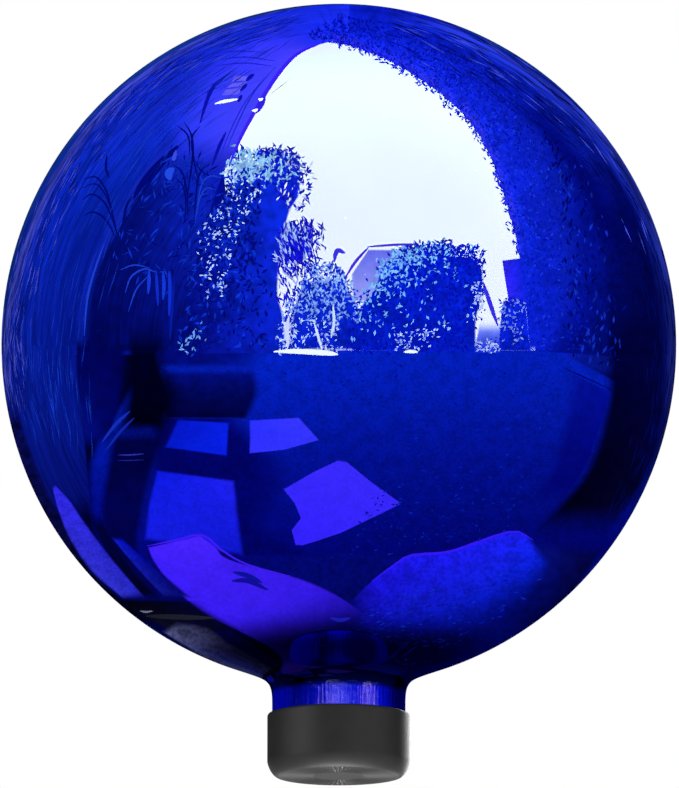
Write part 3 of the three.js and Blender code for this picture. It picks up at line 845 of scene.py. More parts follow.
class Nodes:
    """A short way to add and join shader nodes in one tree."""

    def __init__(self, tree):
        self.tree = tree

    def set(self, socket, value):
        """Links the value to the socket if it is a socket, and otherwise writes it there."""
        if isinstance(value, bpy.types.NodeSocket):
            self.tree.links.new(value, socket)
        else:
            socket.default_value = value

    def add(self, kind, inputs=None, **settings):
        """A node of a kind, with its settings and then its inputs by name or place."""
        node = self.tree.nodes.new(kind)
        for key, value in settings.items():
            setattr(node, key, value)
        for key, value in (inputs or {}).items():
            self.set(node.inputs[key], value)
        return node

    def math(self, operation, *values, clamp=False):
        """The result of one sum on numbers."""
        node = self.add("ShaderNodeMath", operation=operation, use_clamp=clamp)
        for socket, value in zip(node.inputs, values):
            self.set(socket, value)
        return node.outputs[0]

    def remap(self, value, low, high, to_low=0.0, to_high=1.0, smooth=True):
        """A value carried from one range to another and held at its ends."""
        kind = "SMOOTHSTEP" if smooth else "LINEAR"
        places = dict(enumerate((value, low, high, to_low, to_high)))
        return self.add("ShaderNodeMapRange", places, interpolation_type=kind).outputs[0]

    def mix(self, share, first, second):
        """A colour between two, by a share from 0 to 1."""
        places = {0: share, MIX_FIRST: first, MIX_SECOND: second}
        return self.add("ShaderNodeMix", places, data_type="RGBA").outputs[MIX_RESULT]

    def scaled(self, vector, factors):
        """A vector with each part multiplied."""
        return self.add("ShaderNodeVectorMath", {0: vector, 1: factors}, operation="MULTIPLY").outputs[0]

    def noise(self, vector, scale, detail=2.0):
        """Smooth noise from 0 to 1."""
        inputs = {"Vector": vector, "Scale": scale, "Detail": detail}
        return self.add("ShaderNodeTexNoise", inputs).outputs["Fac"]

    def carried(self, name):
        """The colour that a mesh's points carry under a name."""
        return self.add("ShaderNodeAttribute", attribute_name=name).outputs["Color"]

    def place(self, name, build, **values):
        """The outputs of a shared node group, placed with its own values."""
        group = bpy.data.node_groups.get(name) or build(name)
        node = self.add("ShaderNodeGroup", node_tree=group)
        for key, value in values.items():
            self.set(node.inputs[key], value)
        return node.outputs


# Places of the colour sockets on a Mix node, which has like-named ones for every kind
MIX_FIRST = 6
MIX_SECOND = 7
MIX_RESULT = 2


def new_group(name, inputs, outputs):
    """An empty shader node group: its nodes, what its inputs give and its outputs' sockets.

    Inputs are given as (name, socket kind, default or None) and outputs as (name, socket kind).
    """
    group = bpy.data.node_groups.new(name, "ShaderNodeTree")
    for label, kind, default in inputs:
        socket = group.interface.new_socket(label, in_out="INPUT", socket_type=kind)
        if default is not None:
            socket.default_value = default
    for label, kind in outputs:
        group.interface.new_socket(label, in_out="OUTPUT", socket_type=kind)
    nodes = Nodes(group)
    given = nodes.add("NodeGroupInput").outputs
    result = nodes.add("NodeGroupOutput").inputs
    return nodes, given, result


def stretched(nodes, value, range_share):
    """A value whose middle share of the range is stretched to run from 0 to 1."""
    left_out = (1 - range_share) / 2
    return nodes.remap(value, left_out, 1 - left_out)


def mottle_group(name):
    """Soft clouds: noise at a scale, stretched round its middle, from 0 to 1."""
    nodes, given, result = new_group(
        name,
        (("Vector", "NodeSocketVector", None), ("Scale", "NodeSocketFloat", 10.0),
         ("Detail", "NodeSocketFloat", 2.0)),
        (("Value", "NodeSocketFloat"),))
    noise = nodes.noise(given["Vector"], given["Scale"], given["Detail"])
    nodes.set(result["Value"], stretched(nodes, noise, MOTTLE_RANGE_SHARE))
    return nodes.tree


def specks_group(name):
    """Sparse round specks: the middle of a few Voronoi cells, as a mask from 0 to 1."""
    nodes, given, result = new_group(
        name,
        (("Vector", "NodeSocketVector", None), ("Scale", "NodeSocketFloat", 1000.0),
         ("Share", "NodeSocketFloat", 0.1), ("Size", "NodeSocketFloat", 0.2)),
        (("Mask", "NodeSocketFloat"),))
    cells = nodes.add("ShaderNodeTexVoronoi", {"Vector": given["Vector"], "Scale": given["Scale"]})
    chosen = nodes.add("ShaderNodeSeparateColor", {0: cells.outputs["Color"]})
    near = nodes.remap(cells.outputs["Distance"], given["Size"], 0.0)
    kept = nodes.math("LESS_THAN", chosen.outputs[0], given["Share"])
    nodes.set(result["Mask"], nodes.math("MULTIPLY", near, kept))
    return nodes.tree


def card_look_group(name):
    """How light a card is from place to place: clouds with a fine grain, and long arcs.

    The arcs follow the outline of the mirror: noise read at (radius, angle) round its middle.
    """
    nodes, given, result = new_group(
        name,
        (("Vector", "NodeSocketVector", None), ("Grain", "NodeSocketFloat", 30.0),
         ("Streak", "NodeSocketFloat", 0.0)),
        (("Value", "NodeSocketFloat"),))
    parts = nodes.add("ShaderNodeSeparateXYZ", {0: given["Vector"]}).outputs
    angle = nodes.math("ARCTAN2", parts[1], parts[0])
    length = nodes.add("ShaderNodeVectorMath", {0: given["Vector"]}, operation="LENGTH")
    polar = nodes.add("ShaderNodeCombineXYZ", {0: length.outputs["Value"], 1: angle}).outputs[0]
    arcs = nodes.noise(nodes.scaled(polar, ARC_STRETCH), 1.0, ARC_DETAIL)
    coarse = nodes.math("MULTIPLY", given["Grain"], CLOUD_SHARE)
    clouds = nodes.noise(given["Vector"], coarse, CLOUD_DETAIL)
    fine = nodes.noise(given["Vector"], given["Grain"], GRAIN_DETAIL)
    plain = nodes.math("MULTIPLY", nodes.math("ADD", clouds, fine), 0.5)
    blend = nodes.add("ShaderNodeMix", {0: given["Streak"], 2: plain, 3: arcs}, data_type="FLOAT")
    nodes.set(result["Value"], stretched(nodes, blend.outputs[0], LOOK_RANGE_SHARE))
    return nodes.tree


def card_edge_group(name):
    """What is left of a card: all but a ragged margin, which softens over its own width at each side."""
    nodes, given, result = new_group(
        name,
        (("Place", "NodeSocketVector", None), ("Vector", "NodeSocketVector", None),
         ("Grain", "NodeSocketFloat", 30.0), ("Ragged", "NodeSocketFloat", 0.0),
         *((side, "NodeSocketFloat", 0.01) for side in CARD_SIDES)),
        (("Mask", "NodeSocketFloat"),))
    across, along, _ = nodes.add("ShaderNodeSeparateXYZ", {0: given["Place"]}).outputs
    noise = nodes.noise(given["Vector"], given["Grain"], GRAIN_DETAIL)
    bite = nodes.math("MULTIPLY", nodes.math("MULTIPLY", noise, 2.0), given["Ragged"])
    left = 1.0
    inward = (across, nodes.math("SUBTRACT", 1.0, across), along, nodes.math("SUBTRACT", 1.0, along))
    for side, place in zip(CARD_SIDES, inward):
        share = nodes.math("DIVIDE", nodes.math("SUBTRACT", place, bite), given[side])
        left = nodes.math("MINIMUM", left, share)
    nodes.set(result["Mask"], nodes.remap(left, 0.0, 1.0))
    return nodes.tree


CARD_SIDES = ("Soft left", "Soft right", "Soft top", "Soft low")
MOTTLE_RANGE_SHARE = 0.5
LOOK_RANGE_SHARE = 0.36

# How fine the arcs' noise is for each radius of the mirror, and for each radian along its outline
ARC_STRETCH = (130.0, 3.0, 1.0)

# How fine a card's clouds are beside its grain
CLOUD_SHARE = 0.25

# How many finer layers of noise lie on the first
CLOUD_DETAIL = 2.0
GRAIN_DETAIL = 3.0
ARC_DETAIL = 4.0


def new_material(name, slot_colour=None):
    """A material with a Principled shader: the material, its nodes and the shader's inputs."""
    material = bpy.data.materials.new(name)
    material.use_nodes = True
    material.node_tree.nodes.clear()
    nodes = Nodes(material.node_tree)
    shader = nodes.add("ShaderNodeBsdfPrincipled")
    output = nodes.add("ShaderNodeOutputMaterial")
    nodes.set(output.inputs["Surface"], shader.outputs[0])
    if slot_colour:
        material.diffuse_color = (*slot_colour, 1)
    return material, nodes, shader.inputs


def object_place(nodes):
    """Where a point lies in its object, in metres."""
    return nodes.add("ShaderNodeTexCoord").outputs["Object"]


def bump(nodes, height, distance, strength):
    """A normal bent by a height."""
    inputs = {"Height": height, "Distance": distance, "Strength": strength}
    return nodes.add("ShaderNodeBump", inputs).outputs["Normal"]


def mirrored_glass(sizes):
    """Blue glass silvered from behind: a tinted mirror under a clear first surface.

    Its colour drifts a little where the glass is thicker, and sparse dust dulls it. Towards the root of
    the neck the colour is painted near-black and the coat thinned, a painted shade that stands in for
    the dark reflection there, and the neck carries the lines along which it was drawn.
    """
    material, nodes, shader = new_material("Mirrored blue glass", sizes.glass_colour)
    place = object_place(nodes)
    drift = nodes.place("Soft mottle", mottle_group, Vector=place, Scale=DRIFT_SCALE)[0]
    dust = nodes.place("Fine specks", specks_group, Vector=place, Scale=DUST_SCALE, Share=DUST_SHARE,
                       Size=DUST_SIZE)[0]
    thick = [channel * THICK_GLASS_SHARE for channel in sizes.glass_colour]
    glass = nodes.mix(drift, (*sizes.glass_colour, 1), (*thick, 1))
    height = nodes.add("ShaderNodeSeparateXYZ", {0: place}).outputs[2]
    # The root mask paints shade: there the glass turns near-black and loses its coat, in place of a dark
    # reflection
    root = nodes.remap(height, *ROOT_TOP)
    on_neck = nodes.remap(height, *ROOT_FOOT)
    shaded_at_root = nodes.mix(root, nodes.mix(dust, glass, DUST_COLOUR), ROOT_SHADE_COLOUR)
    nodes.set(shader["Base Color"], nodes.mix(on_neck, shaded_at_root, NECK_COLOUR))
    shader["Metallic"].default_value = 1.0
    nodes.set(shader["Roughness"], nodes.remap(dust, 0.0, 1.0, 0.0, DUST_ROUGHNESS))
    shader["Specular Tint"].default_value = SLANT_COLOUR
    nodes.set(shader["Coat Weight"], nodes.remap(root, 0.0, 1.0, 1.0, ROOT_SHADE_COAT_SHARE, smooth=False))
    lines = nodes.noise(nodes.scaled(place, DRAWN_STRETCH), DRAWN_SCALE, DRAWN_DETAIL)
    drawn = nodes.math("MULTIPLY", lines, on_neck)
    nodes.set(shader["Normal"], bump(nodes, drawn, DRAWN_DEPTH, 1.0))
    nodes.set(shader["Coat Normal"], bump(nodes, drawn, DRAWN_DEPTH, 1.0))
    shader["Coat Roughness"].default_value = 0.0
    shader["Coat IOR"].default_value = GLASS_IOR
    return material


# Scales of noise count its cells in a metre
GLASS_IOR = 1.5
DRIFT_SCALE = 9.0
THICK_GLASS_SHARE = 0.93
SLANT_COLOUR = (0.2, 0.25, 1.0, 1.0)

# How many specks there are, what share of them shows, how large they are in their cells, and their finish
DUST_SCALE = 420.0
DUST_SHARE = 0.012
DUST_SIZE = 0.16
DUST_ROUGHNESS = 0.35
DUST_COLOUR = (0.10, 0.13, 0.75, 1.0)

# Painted shade at the neck's root: it begins between the first two heights and ends between the others
ROOT_TOP = (53 * MM, 43 * MM)
ROOT_FOOT = (32.5 * MM, 29.5 * MM)
# The near-black colour and thin coat painted at the root in place of its dark reflection
ROOT_SHADE_COLOUR = (0.0012, 0.0012, 0.055, 1.0)
ROOT_SHADE_COAT_SHARE = 0.1
NECK_COLOUR = (0.018, 0.0125, 0.98, 1.0)

# Drawn lines on the neck run up it, this fine round it and this deep
DRAWN_STRETCH = (1.0, 1.0, 0.02)
DRAWN_SCALE = 1000.0
DRAWN_DETAIL = 3.0
DRAWN_DEPTH = 0.3 * MM


def cut_glass(sizes):
    """The smooth rim and the inner wall of the blue glass."""
    material, nodes, shader = new_material("Cut blue glass", sizes.glass_colour)
    grind = nodes.noise(object_place(nodes), GRIND_SCALE, GRIND_DETAIL)
    nodes.set(shader["Base Color"], nodes.mix(grind, CUT_DARK_COLOUR, CUT_LIGHT_COLOUR))
    nodes.set(shader["Roughness"], nodes.remap(grind, *NOISE_MIDDLE, *CUT_ROUGHNESS))
    shader["IOR"].default_value = GLASS_IOR
    shader["Transmission Weight"].default_value = CUT_CLEAR_SHARE
    nodes.set(shader["Normal"], bump(nodes, grind, GRIND_DEPTH, GRIND_STRENGTH))
    return material


# Most noise lies between these two values
NOISE_MIDDLE = (0.3, 0.7)

GRIND_SCALE = 1500.0
GRIND_DETAIL = 3.0
GRIND_DEPTH = 0.05 * MM
GRIND_STRENGTH = 0.4
CUT_DARK_COLOUR = (0.02, 0.05, 0.55, 1)
CUT_LIGHT_COLOUR = (0.08, 0.14, 0.8, 1)
CUT_ROUGHNESS = (0.2, 0.45)
CUT_CLEAR_SHARE = 0.3


def silver_film(sizes):
    """The back of the silver: a bright film with faint tarnish clouds."""
    material, nodes, shader = new_material("Silver film", sizes.silver_colour)
    clouds = nodes.place("Soft mottle", mottle_group, Vector=object_place(nodes), Scale=TARNISH_SCALE,
                         Detail=TARNISH_DETAIL)[0]
    silver = (*sizes.silver_colour, 1)
    nodes.set(shader["Base Color"], nodes.mix(clouds, TARNISH_COLOUR, silver))
    shader["Metallic"].default_value = 1.0
    nodes.set(shader["Roughness"], nodes.remap(clouds, 0.0, 1.0, *SILVER_ROUGHNESS))
    return material


# The roughness is that of the tarnished film and then of the bright one
TARNISH_SCALE = 24.0
TARNISH_DETAIL = 4.0
TARNISH_COLOUR = (0.42, 0.39, 0.34, 1)
SILVER_ROUGHNESS = (0.32, 0.14)


def moulded_rubber(name, colour, grain_scale):
    """Matt moulded rubber: faint clouds, and a fine grain that its gloss follows."""
    material, nodes, shader = new_material(name, colour)
    place = object_place(nodes)
    clouds = nodes.noise(place, RUBBER_CLOUD_SCALE, RUBBER_CLOUD_DETAIL)
    fine = nodes.noise(place, grain_scale, RUBBER_GRAIN_DETAIL)
    dark, light = ([channel * share for channel in colour] for share in RUBBER_COLOUR_SHARES)
    base = nodes.mix(nodes.remap(clouds, *NOISE_MIDDLE), (*dark, 1), (*light, 1))
    nodes.set(shader["Base Color"], base)
    nodes.set(shader["Roughness"], nodes.remap(fine, *NOISE_MIDDLE, *RUBBER_ROUGHNESS))
    nodes.set(shader["Normal"], bump(nodes, fine, RUBBER_GRAIN_DEPTH, RUBBER_GRAIN_STRENGTH))
    return material


# The colour's shares are for the darkest and the lightest clouds
RUBBER_CLOUD_SCALE = 120.0
RUBBER_CLOUD_DETAIL = 4.0
RUBBER_COLOUR_SHARES = (0.9, 1.12)
CAP_GRAIN_SCALE = 4000.0
WASHER_GRAIN_SCALE = 3000.0
RUBBER_GRAIN_DETAIL = 2.0
RUBBER_GRAIN_DEPTH = 0.03 * MM
RUBBER_GRAIN_STRENGTH = 0.5
RUBBER_ROUGHNESS = (0.5, 0.6)


class Mirror:
    """The ellipsoid that a sight line is mirrored by: its middle height and its half axes."""

    def __init__(self, height, half_width, half_height):
        self.centre = np.array([0, 0, height])
        self.axes = np.array([half_width, half_width, half_height])


def ball_mirror(globe):
    """The ball as a mirror."""
    return Mirror(ball_centre_height(globe), globe.ball_width / 2, globe.ball_height / 2)


def camera_frame(studio):
    """The camera's place and its right, up and forward directions, from the studio's settings."""
    aim = np.array([studio.aim_side, 0, studio.aim_height])
    forward = np.array([0, math.cos(studio.camera_drop), math.sin(studio.camera_drop)])
    right = np.array([1, 0, 0])
    return aim - forward * studio.camera_distance, right, np.cross(right, forward), forward


def mirrored_points(pixels, reach, mirror, studio):
    """Where the sight lines through some pixels land, a reach beyond the mirror that turns them.

    Each line meets the ellipsoid, turns about the normal n there by r = d - 2 (d.n) n and runs on
    for the reach. A line that passes the mirror is turned at its closest point instead.
    """
    eye, right, up, forward = camera_frame(studio)
    across = (pixels[..., :1] - PICTURE_WIDTH_PX / 2) * studio.pixel_width / studio.camera_distance
    rise = (PICTURE_HEIGHT_PX / 2 - pixels[..., 1:]) * studio.pixel_width / studio.camera_distance
    line = forward + across * right + rise * up
    line /= np.linalg.norm(line, axis=-1, keepdims=True)
    start = (eye - mirror.centre) / mirror.axes
    run = line / mirror.axes
    a = (run * run).sum(-1, keepdims=True)
    b = (run * start).sum(-1, keepdims=True)
    c = (start * start).sum() - 1
    met = start + (-b - np.sqrt(np.maximum(b * b - a * c, 0))) / a * run
    normal = met / mirror.axes
    normal /= np.linalg.norm(normal, axis=-1, keepdims=True)
    turned = line - 2 * (line * normal).sum(-1, keepdims=True) * normal
    return mirror.centre + met * mirror.axes + reach * turned


def layer_reach(layer, studio):
    """How far from the mirror a layer of cards stands."""
    return studio.card_reach - layer * studio.card_step


def smooth_curve(points, share):
    """Points at even shares of the way along the Catmull-Rom cubic through a few points."""
    points = np.array(points, float)
    padded = np.concatenate([2 * points[:1] - points[1:2], points, 2 * points[-1:] - points[-2:-1]])
    at = share * (len(points) - 1)
    i = np.minimum(at.astype(int), len(points) - 2)
    t = (at - i)[..., None]
    p0, p1, p2, p3 = (padded[i + k] for k in range(4))
    return 0.5 * (2 * p1 + (p2 - p0) * t + (2 * p0 - 5 * p1 + 4 * p2 - p3) * t ** 2
                  + (3 * p1 - p0 - 3 * p2 + p3) * t ** 3)


def grid_faces(rows, columns):
    """The faces of a grid of points that runs row by row."""
    row = columns * np.arange(rows - 1)[:, None]
    step = np.arange(columns - 1)
    faces = np.stack([row + step, row + step + 1, row + columns + step + 1, row + columns + step], -1)
    return faces.reshape(-1, 4)


def add_uv(obj, label, values):
    """Writes one UV map from values given for each point."""
    corner = np.empty(len(obj.data.loops), np.int32)
    obj.data.loops.foreach_get("vertex_index", corner)
    layer = obj.data.uv_layers.new(name=label)
    layer.data.foreach_set("uv", values.reshape(-1, 2)[corner].ravel())


def mirror_place(pixels, mirror, studio):
    """Where pixels lie on the mirror's disc, in shares of its radius from its middle."""
    rise = (mirror.centre[2] - studio.aim_height) * math.cos(studio.camera_drop)
    middle = np.array([PICTURE_WIDTH_PX / 2, PICTURE_HEIGHT_PX / 2 - rise / studio.pixel_width])
    return (pixels - middle) * [1, -1] * studio.pixel_width / mirror.axes[0]


def card_object(card, mirror, studio):
    """A card: the ruled surface between its two edges in the mirror, carried out to its layer.

    Its points carry its light, which runs between the colours of its corners.
    """
    share = np.linspace(0, 1, CARD_ROWS)
    left, right = (edge_curve(edge, share, card.corners)[:, None] for edge in (card.left_px, card.right_px))
    across = share[None, :, None]
    along = share[:, None, None]
    pixels = left * (1 - across) + right * across
    points = mirrored_points(pixels, layer_reach(card.layer, studio), mirror, studio)
    shown = mirror_place(pixels, mirror, studio)
    top = card.top[0] * (1 - across) + card.top[1] * across
    low = card.low[0] * (1 - across) + card.low[1] * across
    light = given_off(top * (1 - along) + low * along, np.linalg.norm(shown, axis=-1, keepdims=True))
    faces = grid_faces(CARD_ROWS, CARD_ROWS)
    obj = glowing_mesh(card.name, points.reshape(-1, 3), faces, light.reshape(-1, 3), card_material(card))
    add_uv(obj, "Mirror", shown)
    add_uv(obj, "Place", np.stack(np.broadcast_arrays(share[None, :], share[:, None]), -1))
    return obj


def edge_curve(points, share, corners):
    """Points at even shares along an edge, smoothed unless it keeps its corners."""
    if not corners:
        return smooth_curve(points, share)
    points = np.array(points, float)
    at = share * (len(points) - 1)
    return np.stack([np.interp(at, np.arange(len(points)), points[:, k]) for k in range(2)], -1)


def tuft_object(tuft, mirror, studio, material, seed):
    """A tuft: four-cornered slips strewn between two edges, each with its own lean and colour.

    A slip's corners are its middle plus and minus half its length along its lean, and half its
    width across. Where it follows the edges, its lean is counted from a blend of their directions.
    The chance that a slip is light falls as exp(-(d / reach)^2) with the distance d from the lit place.
    """
    random = np.random.default_rng(seed)
    across, along = random.random((2, tuft.count))
    left = smooth_curve(tuft.left_px, along)
    right = smooth_curve(tuft.right_px, along)
    stray = random.normal(0, tuft.length_px / LENGTHS_PER_STRAY, (tuft.count, 2))
    middle = left + (right - left) * across[:, None] + stray
    lean = np.radians(random.normal(tuft.lean, tuft.spread, tuft.count))[:, None]
    if tuft.follow:
        ahead = smooth_curve(tuft.left_px, along + EDGE_STEP_SHARE) - left
        aside = smooth_curve(tuft.right_px, along + EDGE_STEP_SHARE) - right
        ahead += (aside - ahead) * across[:, None]
        lean += np.arctan2(ahead[:, 1:], ahead[:, :1])
    size = random.uniform(*SLIP_SIZE_SHARES, tuft.count)[:, None]
    run = np.concatenate([np.cos(lean), np.sin(lean)], 1) * size * tuft.length_px / 2
    side = np.concatenate([-np.sin(lean), np.cos(lean)], 1) * size * tuft.width_px / 2
    pixels = np.stack([middle - run, middle + side, middle + run, middle - side], 1)
    reach = layer_reach(tuft.layer + random.random((tuft.count, 1, 1)), studio)
    points = mirrored_points(pixels, reach, mirror, studio).reshape(-1, 3)
    away = np.hypot(across - tuft.lit_shares[0], along - tuft.lit_shares[1])
    chance = tuft.share * np.exp(-(away / tuft.reach_share) ** 2)[:, None]
    light = random.random((tuft.count, 1)) < chance
    off_middle = np.linalg.norm(mirror_place(middle, mirror, studio), axis=1, keepdims=True)
    level = random.uniform(*SLIP_LIGHT_SHARES, (tuft.count, 1))
    colours = np.where(light, given_off(tuft.light, off_middle), given_off(tuft.dark, off_middle)) * level
    faces = np.arange(SLIP_CORNERS * tuft.count).reshape(-1, SLIP_CORNERS)
    return glowing_mesh(tuft.name, points, faces, np.repeat(colours, SLIP_CORNERS, 0), material)


def stroke_object(name, strokes, mirror, studio, material):
    """Thin strokes: ribbons along smooth curves, as wide as they say and pointed at their ends."""
    share = np.linspace(0, 1, STROKE_ROWS)
    points = []
    faces = []
    colours = []
    for line, width, colour, layer in strokes:
        curve = smooth_curve(line, share)
        slope = np.gradient(curve, axis=0)
        slope /= np.linalg.norm(slope, axis=1)[:, None]
        side = np.stack([-slope[:, 1], slope[:, 0]], 1) * width / 2
        taper = np.sin(math.pi * np.clip(share, STROKE_TIP_SHARE, 1 - STROKE_TIP_SHARE)) ** 0.5
        side *= taper[:, None]
        pixels = np.stack([curve - side, curve + side], 1)
        landed = mirrored_points(pixels, layer_reach(layer, studio), mirror, studio).reshape(-1, 3)
        faces.append(grid_faces(STROKE_ROWS, 2) + len(faces) * len(landed))
        points.append(landed)
        off_middle = np.linalg.norm(mirror_place(pixels, mirror, studio), axis=-1).reshape(-1, 1)
        colours.append(given_off(colour, off_middle))
    points, faces, colours = (np.concatenate(parts) for parts in (points, faces, colours))
    return glowing_mesh(name, points, faces, colours, material)


def glowing_mesh(name, points, faces, colours, material):
    """A mesh whose points carry the light that they give off."""
    obj = mesh_object(name, points, faces.tolist(), [material])
    glow = obj.data.color_attributes.new("Glow", "FLOAT_COLOR", "POINT")
    glow.data.foreach_set("color", np.insert(colours, 3, 1, axis=1).ravel())
    return obj


def given_off(shown, off_middle=0.0):
    """The light that a card gives off so that the mirror shows a colour, from 0 to 255.

    The mirror multiplies light by its tint, which pales towards its outline by Schlick's fifth
    power, and 0 to 255 counts even steps to the eye, which the sRGB curve undoes.
    """
    slant = 1 - np.sqrt(np.clip(1 - np.square(off_middle), 0, 1))
    tint = MIRROR_TINT + (1 - MIRROR_TINT) * slant ** SCHLICK_POWER
    share = np.array(shown) / FULL_LEVEL
    curved = ((np.maximum(share, 0) + SRGB_OFFSET) / (1 + SRGB_OFFSET)) ** SRGB_POWER
    return np.where(share > SRGB_FOOT, curved, share / SRGB_FOOT_DIVISOR) / tint


# What the mirrored blue glass sends back of red, green and blue, straight on
MIRROR_TINT = np.array([0.05, 0.058, 0.95])
SCHLICK_POWER = 5

# The sRGB curve is straight up to its foot and a power above it
FULL_LEVEL = 255
SRGB_FOOT = 0.04045
SRGB_FOOT_DIVISOR = 12.92
SRGB_OFFSET = 0.055
SRGB_POWER = 2.4

# How far along an edge the next point is that gives its direction
EDGE_STEP_SHARE = 0.01

# A slip has four corners, its length is three times the scatter of its middle, and its size and light
# lie between these shares of its tuft's
SLIP_CORNERS = 4
LENGTHS_PER_STRAY = 3
SLIP_SIZE_SHARES = (0.6, 1.3)
SLIP_LIGHT_SHARES = (0.5, 1.2)

# Points along a stroke, and how far from each end it stops narrowing, as a share of its way
STROKE_ROWS = 16
STROKE_TIP_SHARE = 0.02


def glow_nodes(name):
    """A material that only gives off light: the material, its nodes, its light and its output."""
    material = bpy.data.materials.new(name)
    material.use_nodes = True
    material.node_tree.nodes.clear()
    nodes = Nodes(material.node_tree)
    light = nodes.add("ShaderNodeEmission")
    output = nodes.add("ShaderNodeOutputMaterial", {"Surface": light.outputs[0]})
    return material, nodes, light, output


def card_material(card):
    """A card's light: what its points carry, lighter and darker by its look and cut past its edge."""
    material, nodes, light, output = glow_nodes(card.name)
    shown = nodes.add("ShaderNodeUVMap", uv_map="Mirror").outputs[0]
    own = nodes.add("ShaderNodeUVMap", uv_map="Place").outputs[0]
    look = nodes.place("Card look", card_look_group, Vector=shown, Grain=card.grain,
                       Streak=card.streak_share)[0]
    nodes.set(light.inputs["Color"], nodes.carried("Glow"))
    level = nodes.remap(look, 0.0, 1.0, 1 - card.depth_share, 1 + card.depth_share, smooth=False)
    nodes.set(light.inputs["Strength"], level)
    soft = {side: float(width) for side, width in zip(CARD_SIDES, card.soft_shares)}
    edge = nodes.place("Card edge", card_edge_group, Place=own, Vector=shown, Grain=card.grain,
                       Ragged=card.ragged_share, **soft)[0]
    clear = nodes.add("ShaderNodeBsdfTransparent")
    cut = nodes.add("ShaderNodeMixShader", {0: edge, 1: clear.outputs[0], 2: light.outputs[0]})
    nodes.set(output.inputs["Surface"], cut.outputs[0])
    return material


def slip_material():
    """The light of tufts and strokes, which their points carry."""
    material, nodes, light, _ = glow_nodes("Slips")
    nodes.set(light.inputs["Color"], nodes.carried("Glow"))
    return material


def only_in_mirror(obj, pieces):
    """Sets up an object that only mirrored light shows, and that lights only some pieces."""
    obj.visible_camera = False
    obj.visible_diffuse = False
    obj.visible_transmission = False
    obj.visible_volume_scatter = False
    obj.visible_shadow = False
    obj.light_linking.receiver_collection = pieces


def receivers(name, pieces):
    """A collection outside the scene that names the pieces which a light may reach."""
    collection = bpy.data.collections.new(name)
    for piece in pieces:
        collection.objects.link(bpy.data.objects[piece])
    return collection


def area_lamp(name, place, target, size, power):
    """A square soft light at a place, turned to a target."""
    data = bpy.data.lights.new(name, "AREA")
    data.size = size
    data.energy = power
    lamp = bpy.data.objects.new(name, data)
    bpy.context.scene.collection.objects.link(lamp)
    lamp.location = place
    lamp.rotation_mode = "QUATERNION"
    lamp.rotation_quaternion = (Vector(target) - Vector(place)).to_track_quat("-Z", "Y")
    return lamp


def around(distance, azimuth, elevation):
    """A place at a distance from the cap. Azimuth 0 is towards the camera and 90 to its right."""
    a = math.radians(azimuth)
    e = math.radians(elevation)
    level = math.cos(e) * distance
    return Vector((math.sin(a) * level, -math.cos(a) * level, CAP_HIGH.z / 2 + math.sin(e) * distance))


def floor_material():
    """Pale matt paint on top, and nothing from below, so that the low camera looks through it."""
    material, nodes, shader = new_material("Pale floor")
    speck = nodes.noise(object_place(nodes), FLOOR_CLOUD_SCALE, FLOOR_CLOUD_DETAIL)
    nodes.set(shader["Base Color"], nodes.mix(speck, FLOOR_DARK_COLOUR, FLOOR_LIGHT_COLOUR))
    shader["Roughness"].default_value = FLOOR_ROUGHNESS
    back = nodes.add("ShaderNodeNewGeometry").outputs["Backfacing"]
    clear = nodes.add("ShaderNodeBsdfTransparent")
    paint = shader["Base Color"].node.outputs[0]
    output = next(n for n in nodes.tree.nodes if n.type == "OUTPUT_MATERIAL")
    both = nodes.add("ShaderNodeMixShader", {0: back, 1: paint, 2: clear.outputs[0]})
    nodes.set(output.inputs["Surface"], both.outputs[0])
    return material


FLOOR_CLOUD_SCALE = 6.0
FLOOR_CLOUD_DETAIL = 5.0
FLOOR_DARK_COLOUR = (0.80, 0.80, 0.80, 1)
FLOOR_LIGHT_COLOUR = (0.86, 0.86, 0.855, 1)
FLOOR_ROUGHNESS = 0.9


def add_floor(studio):
    """A flat disc under the cap, as rings of points round its middle."""
    radius = np.linspace(studio.floor_radius, 0, FLOOR_ROWS)
    profile = np.stack([radius, 0 * radius - studio.floor_gap], -1)
    floor = turned_object("floor", profile, FLOOR_TURNS, [floor_material()])
    floor.visible_diffuse = False
    floor.visible_glossy = False
    floor.visible_transmission = False
    floor.visible_shadow = False


def add_world(studio):
    """A plain backdrop for the camera and a soft even light for everything else."""
    world = bpy.data.worlds.new("Studio")
    world.use_nodes = True
    world.node_tree.nodes.clear()
    nodes = Nodes(world.node_tree)
    seen = nodes.add("ShaderNodeLightPath").outputs["Is Camera Ray"]
    level = nodes.remap(seen, 0.0, 1.0, studio.fill_level, studio.backdrop_level, smooth=False)
    backdrop = nodes.add("ShaderNodeBackground", {"Color": (1, 1, 1, 1), "Strength": level})
    nodes.add("ShaderNodeOutputWorld", {"Surface": backdrop.outputs[0]})
    bpy.context.scene.world = world


def add_surround(studio, pieces):
    """A ball of dim glow round everything, which fills the mirror between the cards."""
    t = np.linspace(0, math.pi, SURROUND_ROWS)
    radius = studio.card_reach + 2 * studio.card_step
    profile = np.stack([radius * np.sin(t), -radius * np.cos(t)], -1)
    profile[[0, -1], 0] = 0
    material, nodes, light, _ = glow_nodes("Surround")
    place = nodes.scaled(object_place(nodes), (1 / radius, 1 / radius, 1 / radius))
    height = nodes.add("ShaderNodeSeparateXYZ", {0: place}).outputs[2]
    high = nodes.remap(height, *SURROUND_HEIGHT_SHARES)
    low_glow, high_glow = ((*given_off(shown, SURROUND_PLACE_SHARE), 1) for shown in SURROUND_COLOURS)
    nodes.set(light.inputs["Color"], nodes.mix(high, low_glow, high_glow))
    look = nodes.place("Card look", card_look_group, Vector=place, Grain=SURROUND_GRAIN, Streak=0.0)[0]
    level = nodes.remap(look, 0.0, 1.0, *SURROUND_LIGHT_SHARES, smooth=False)
    nodes.set(light.inputs["Strength"], level)
    only_in_mirror(turned_object("surround", profile, FLOOR_TURNS, [material]), pieces)


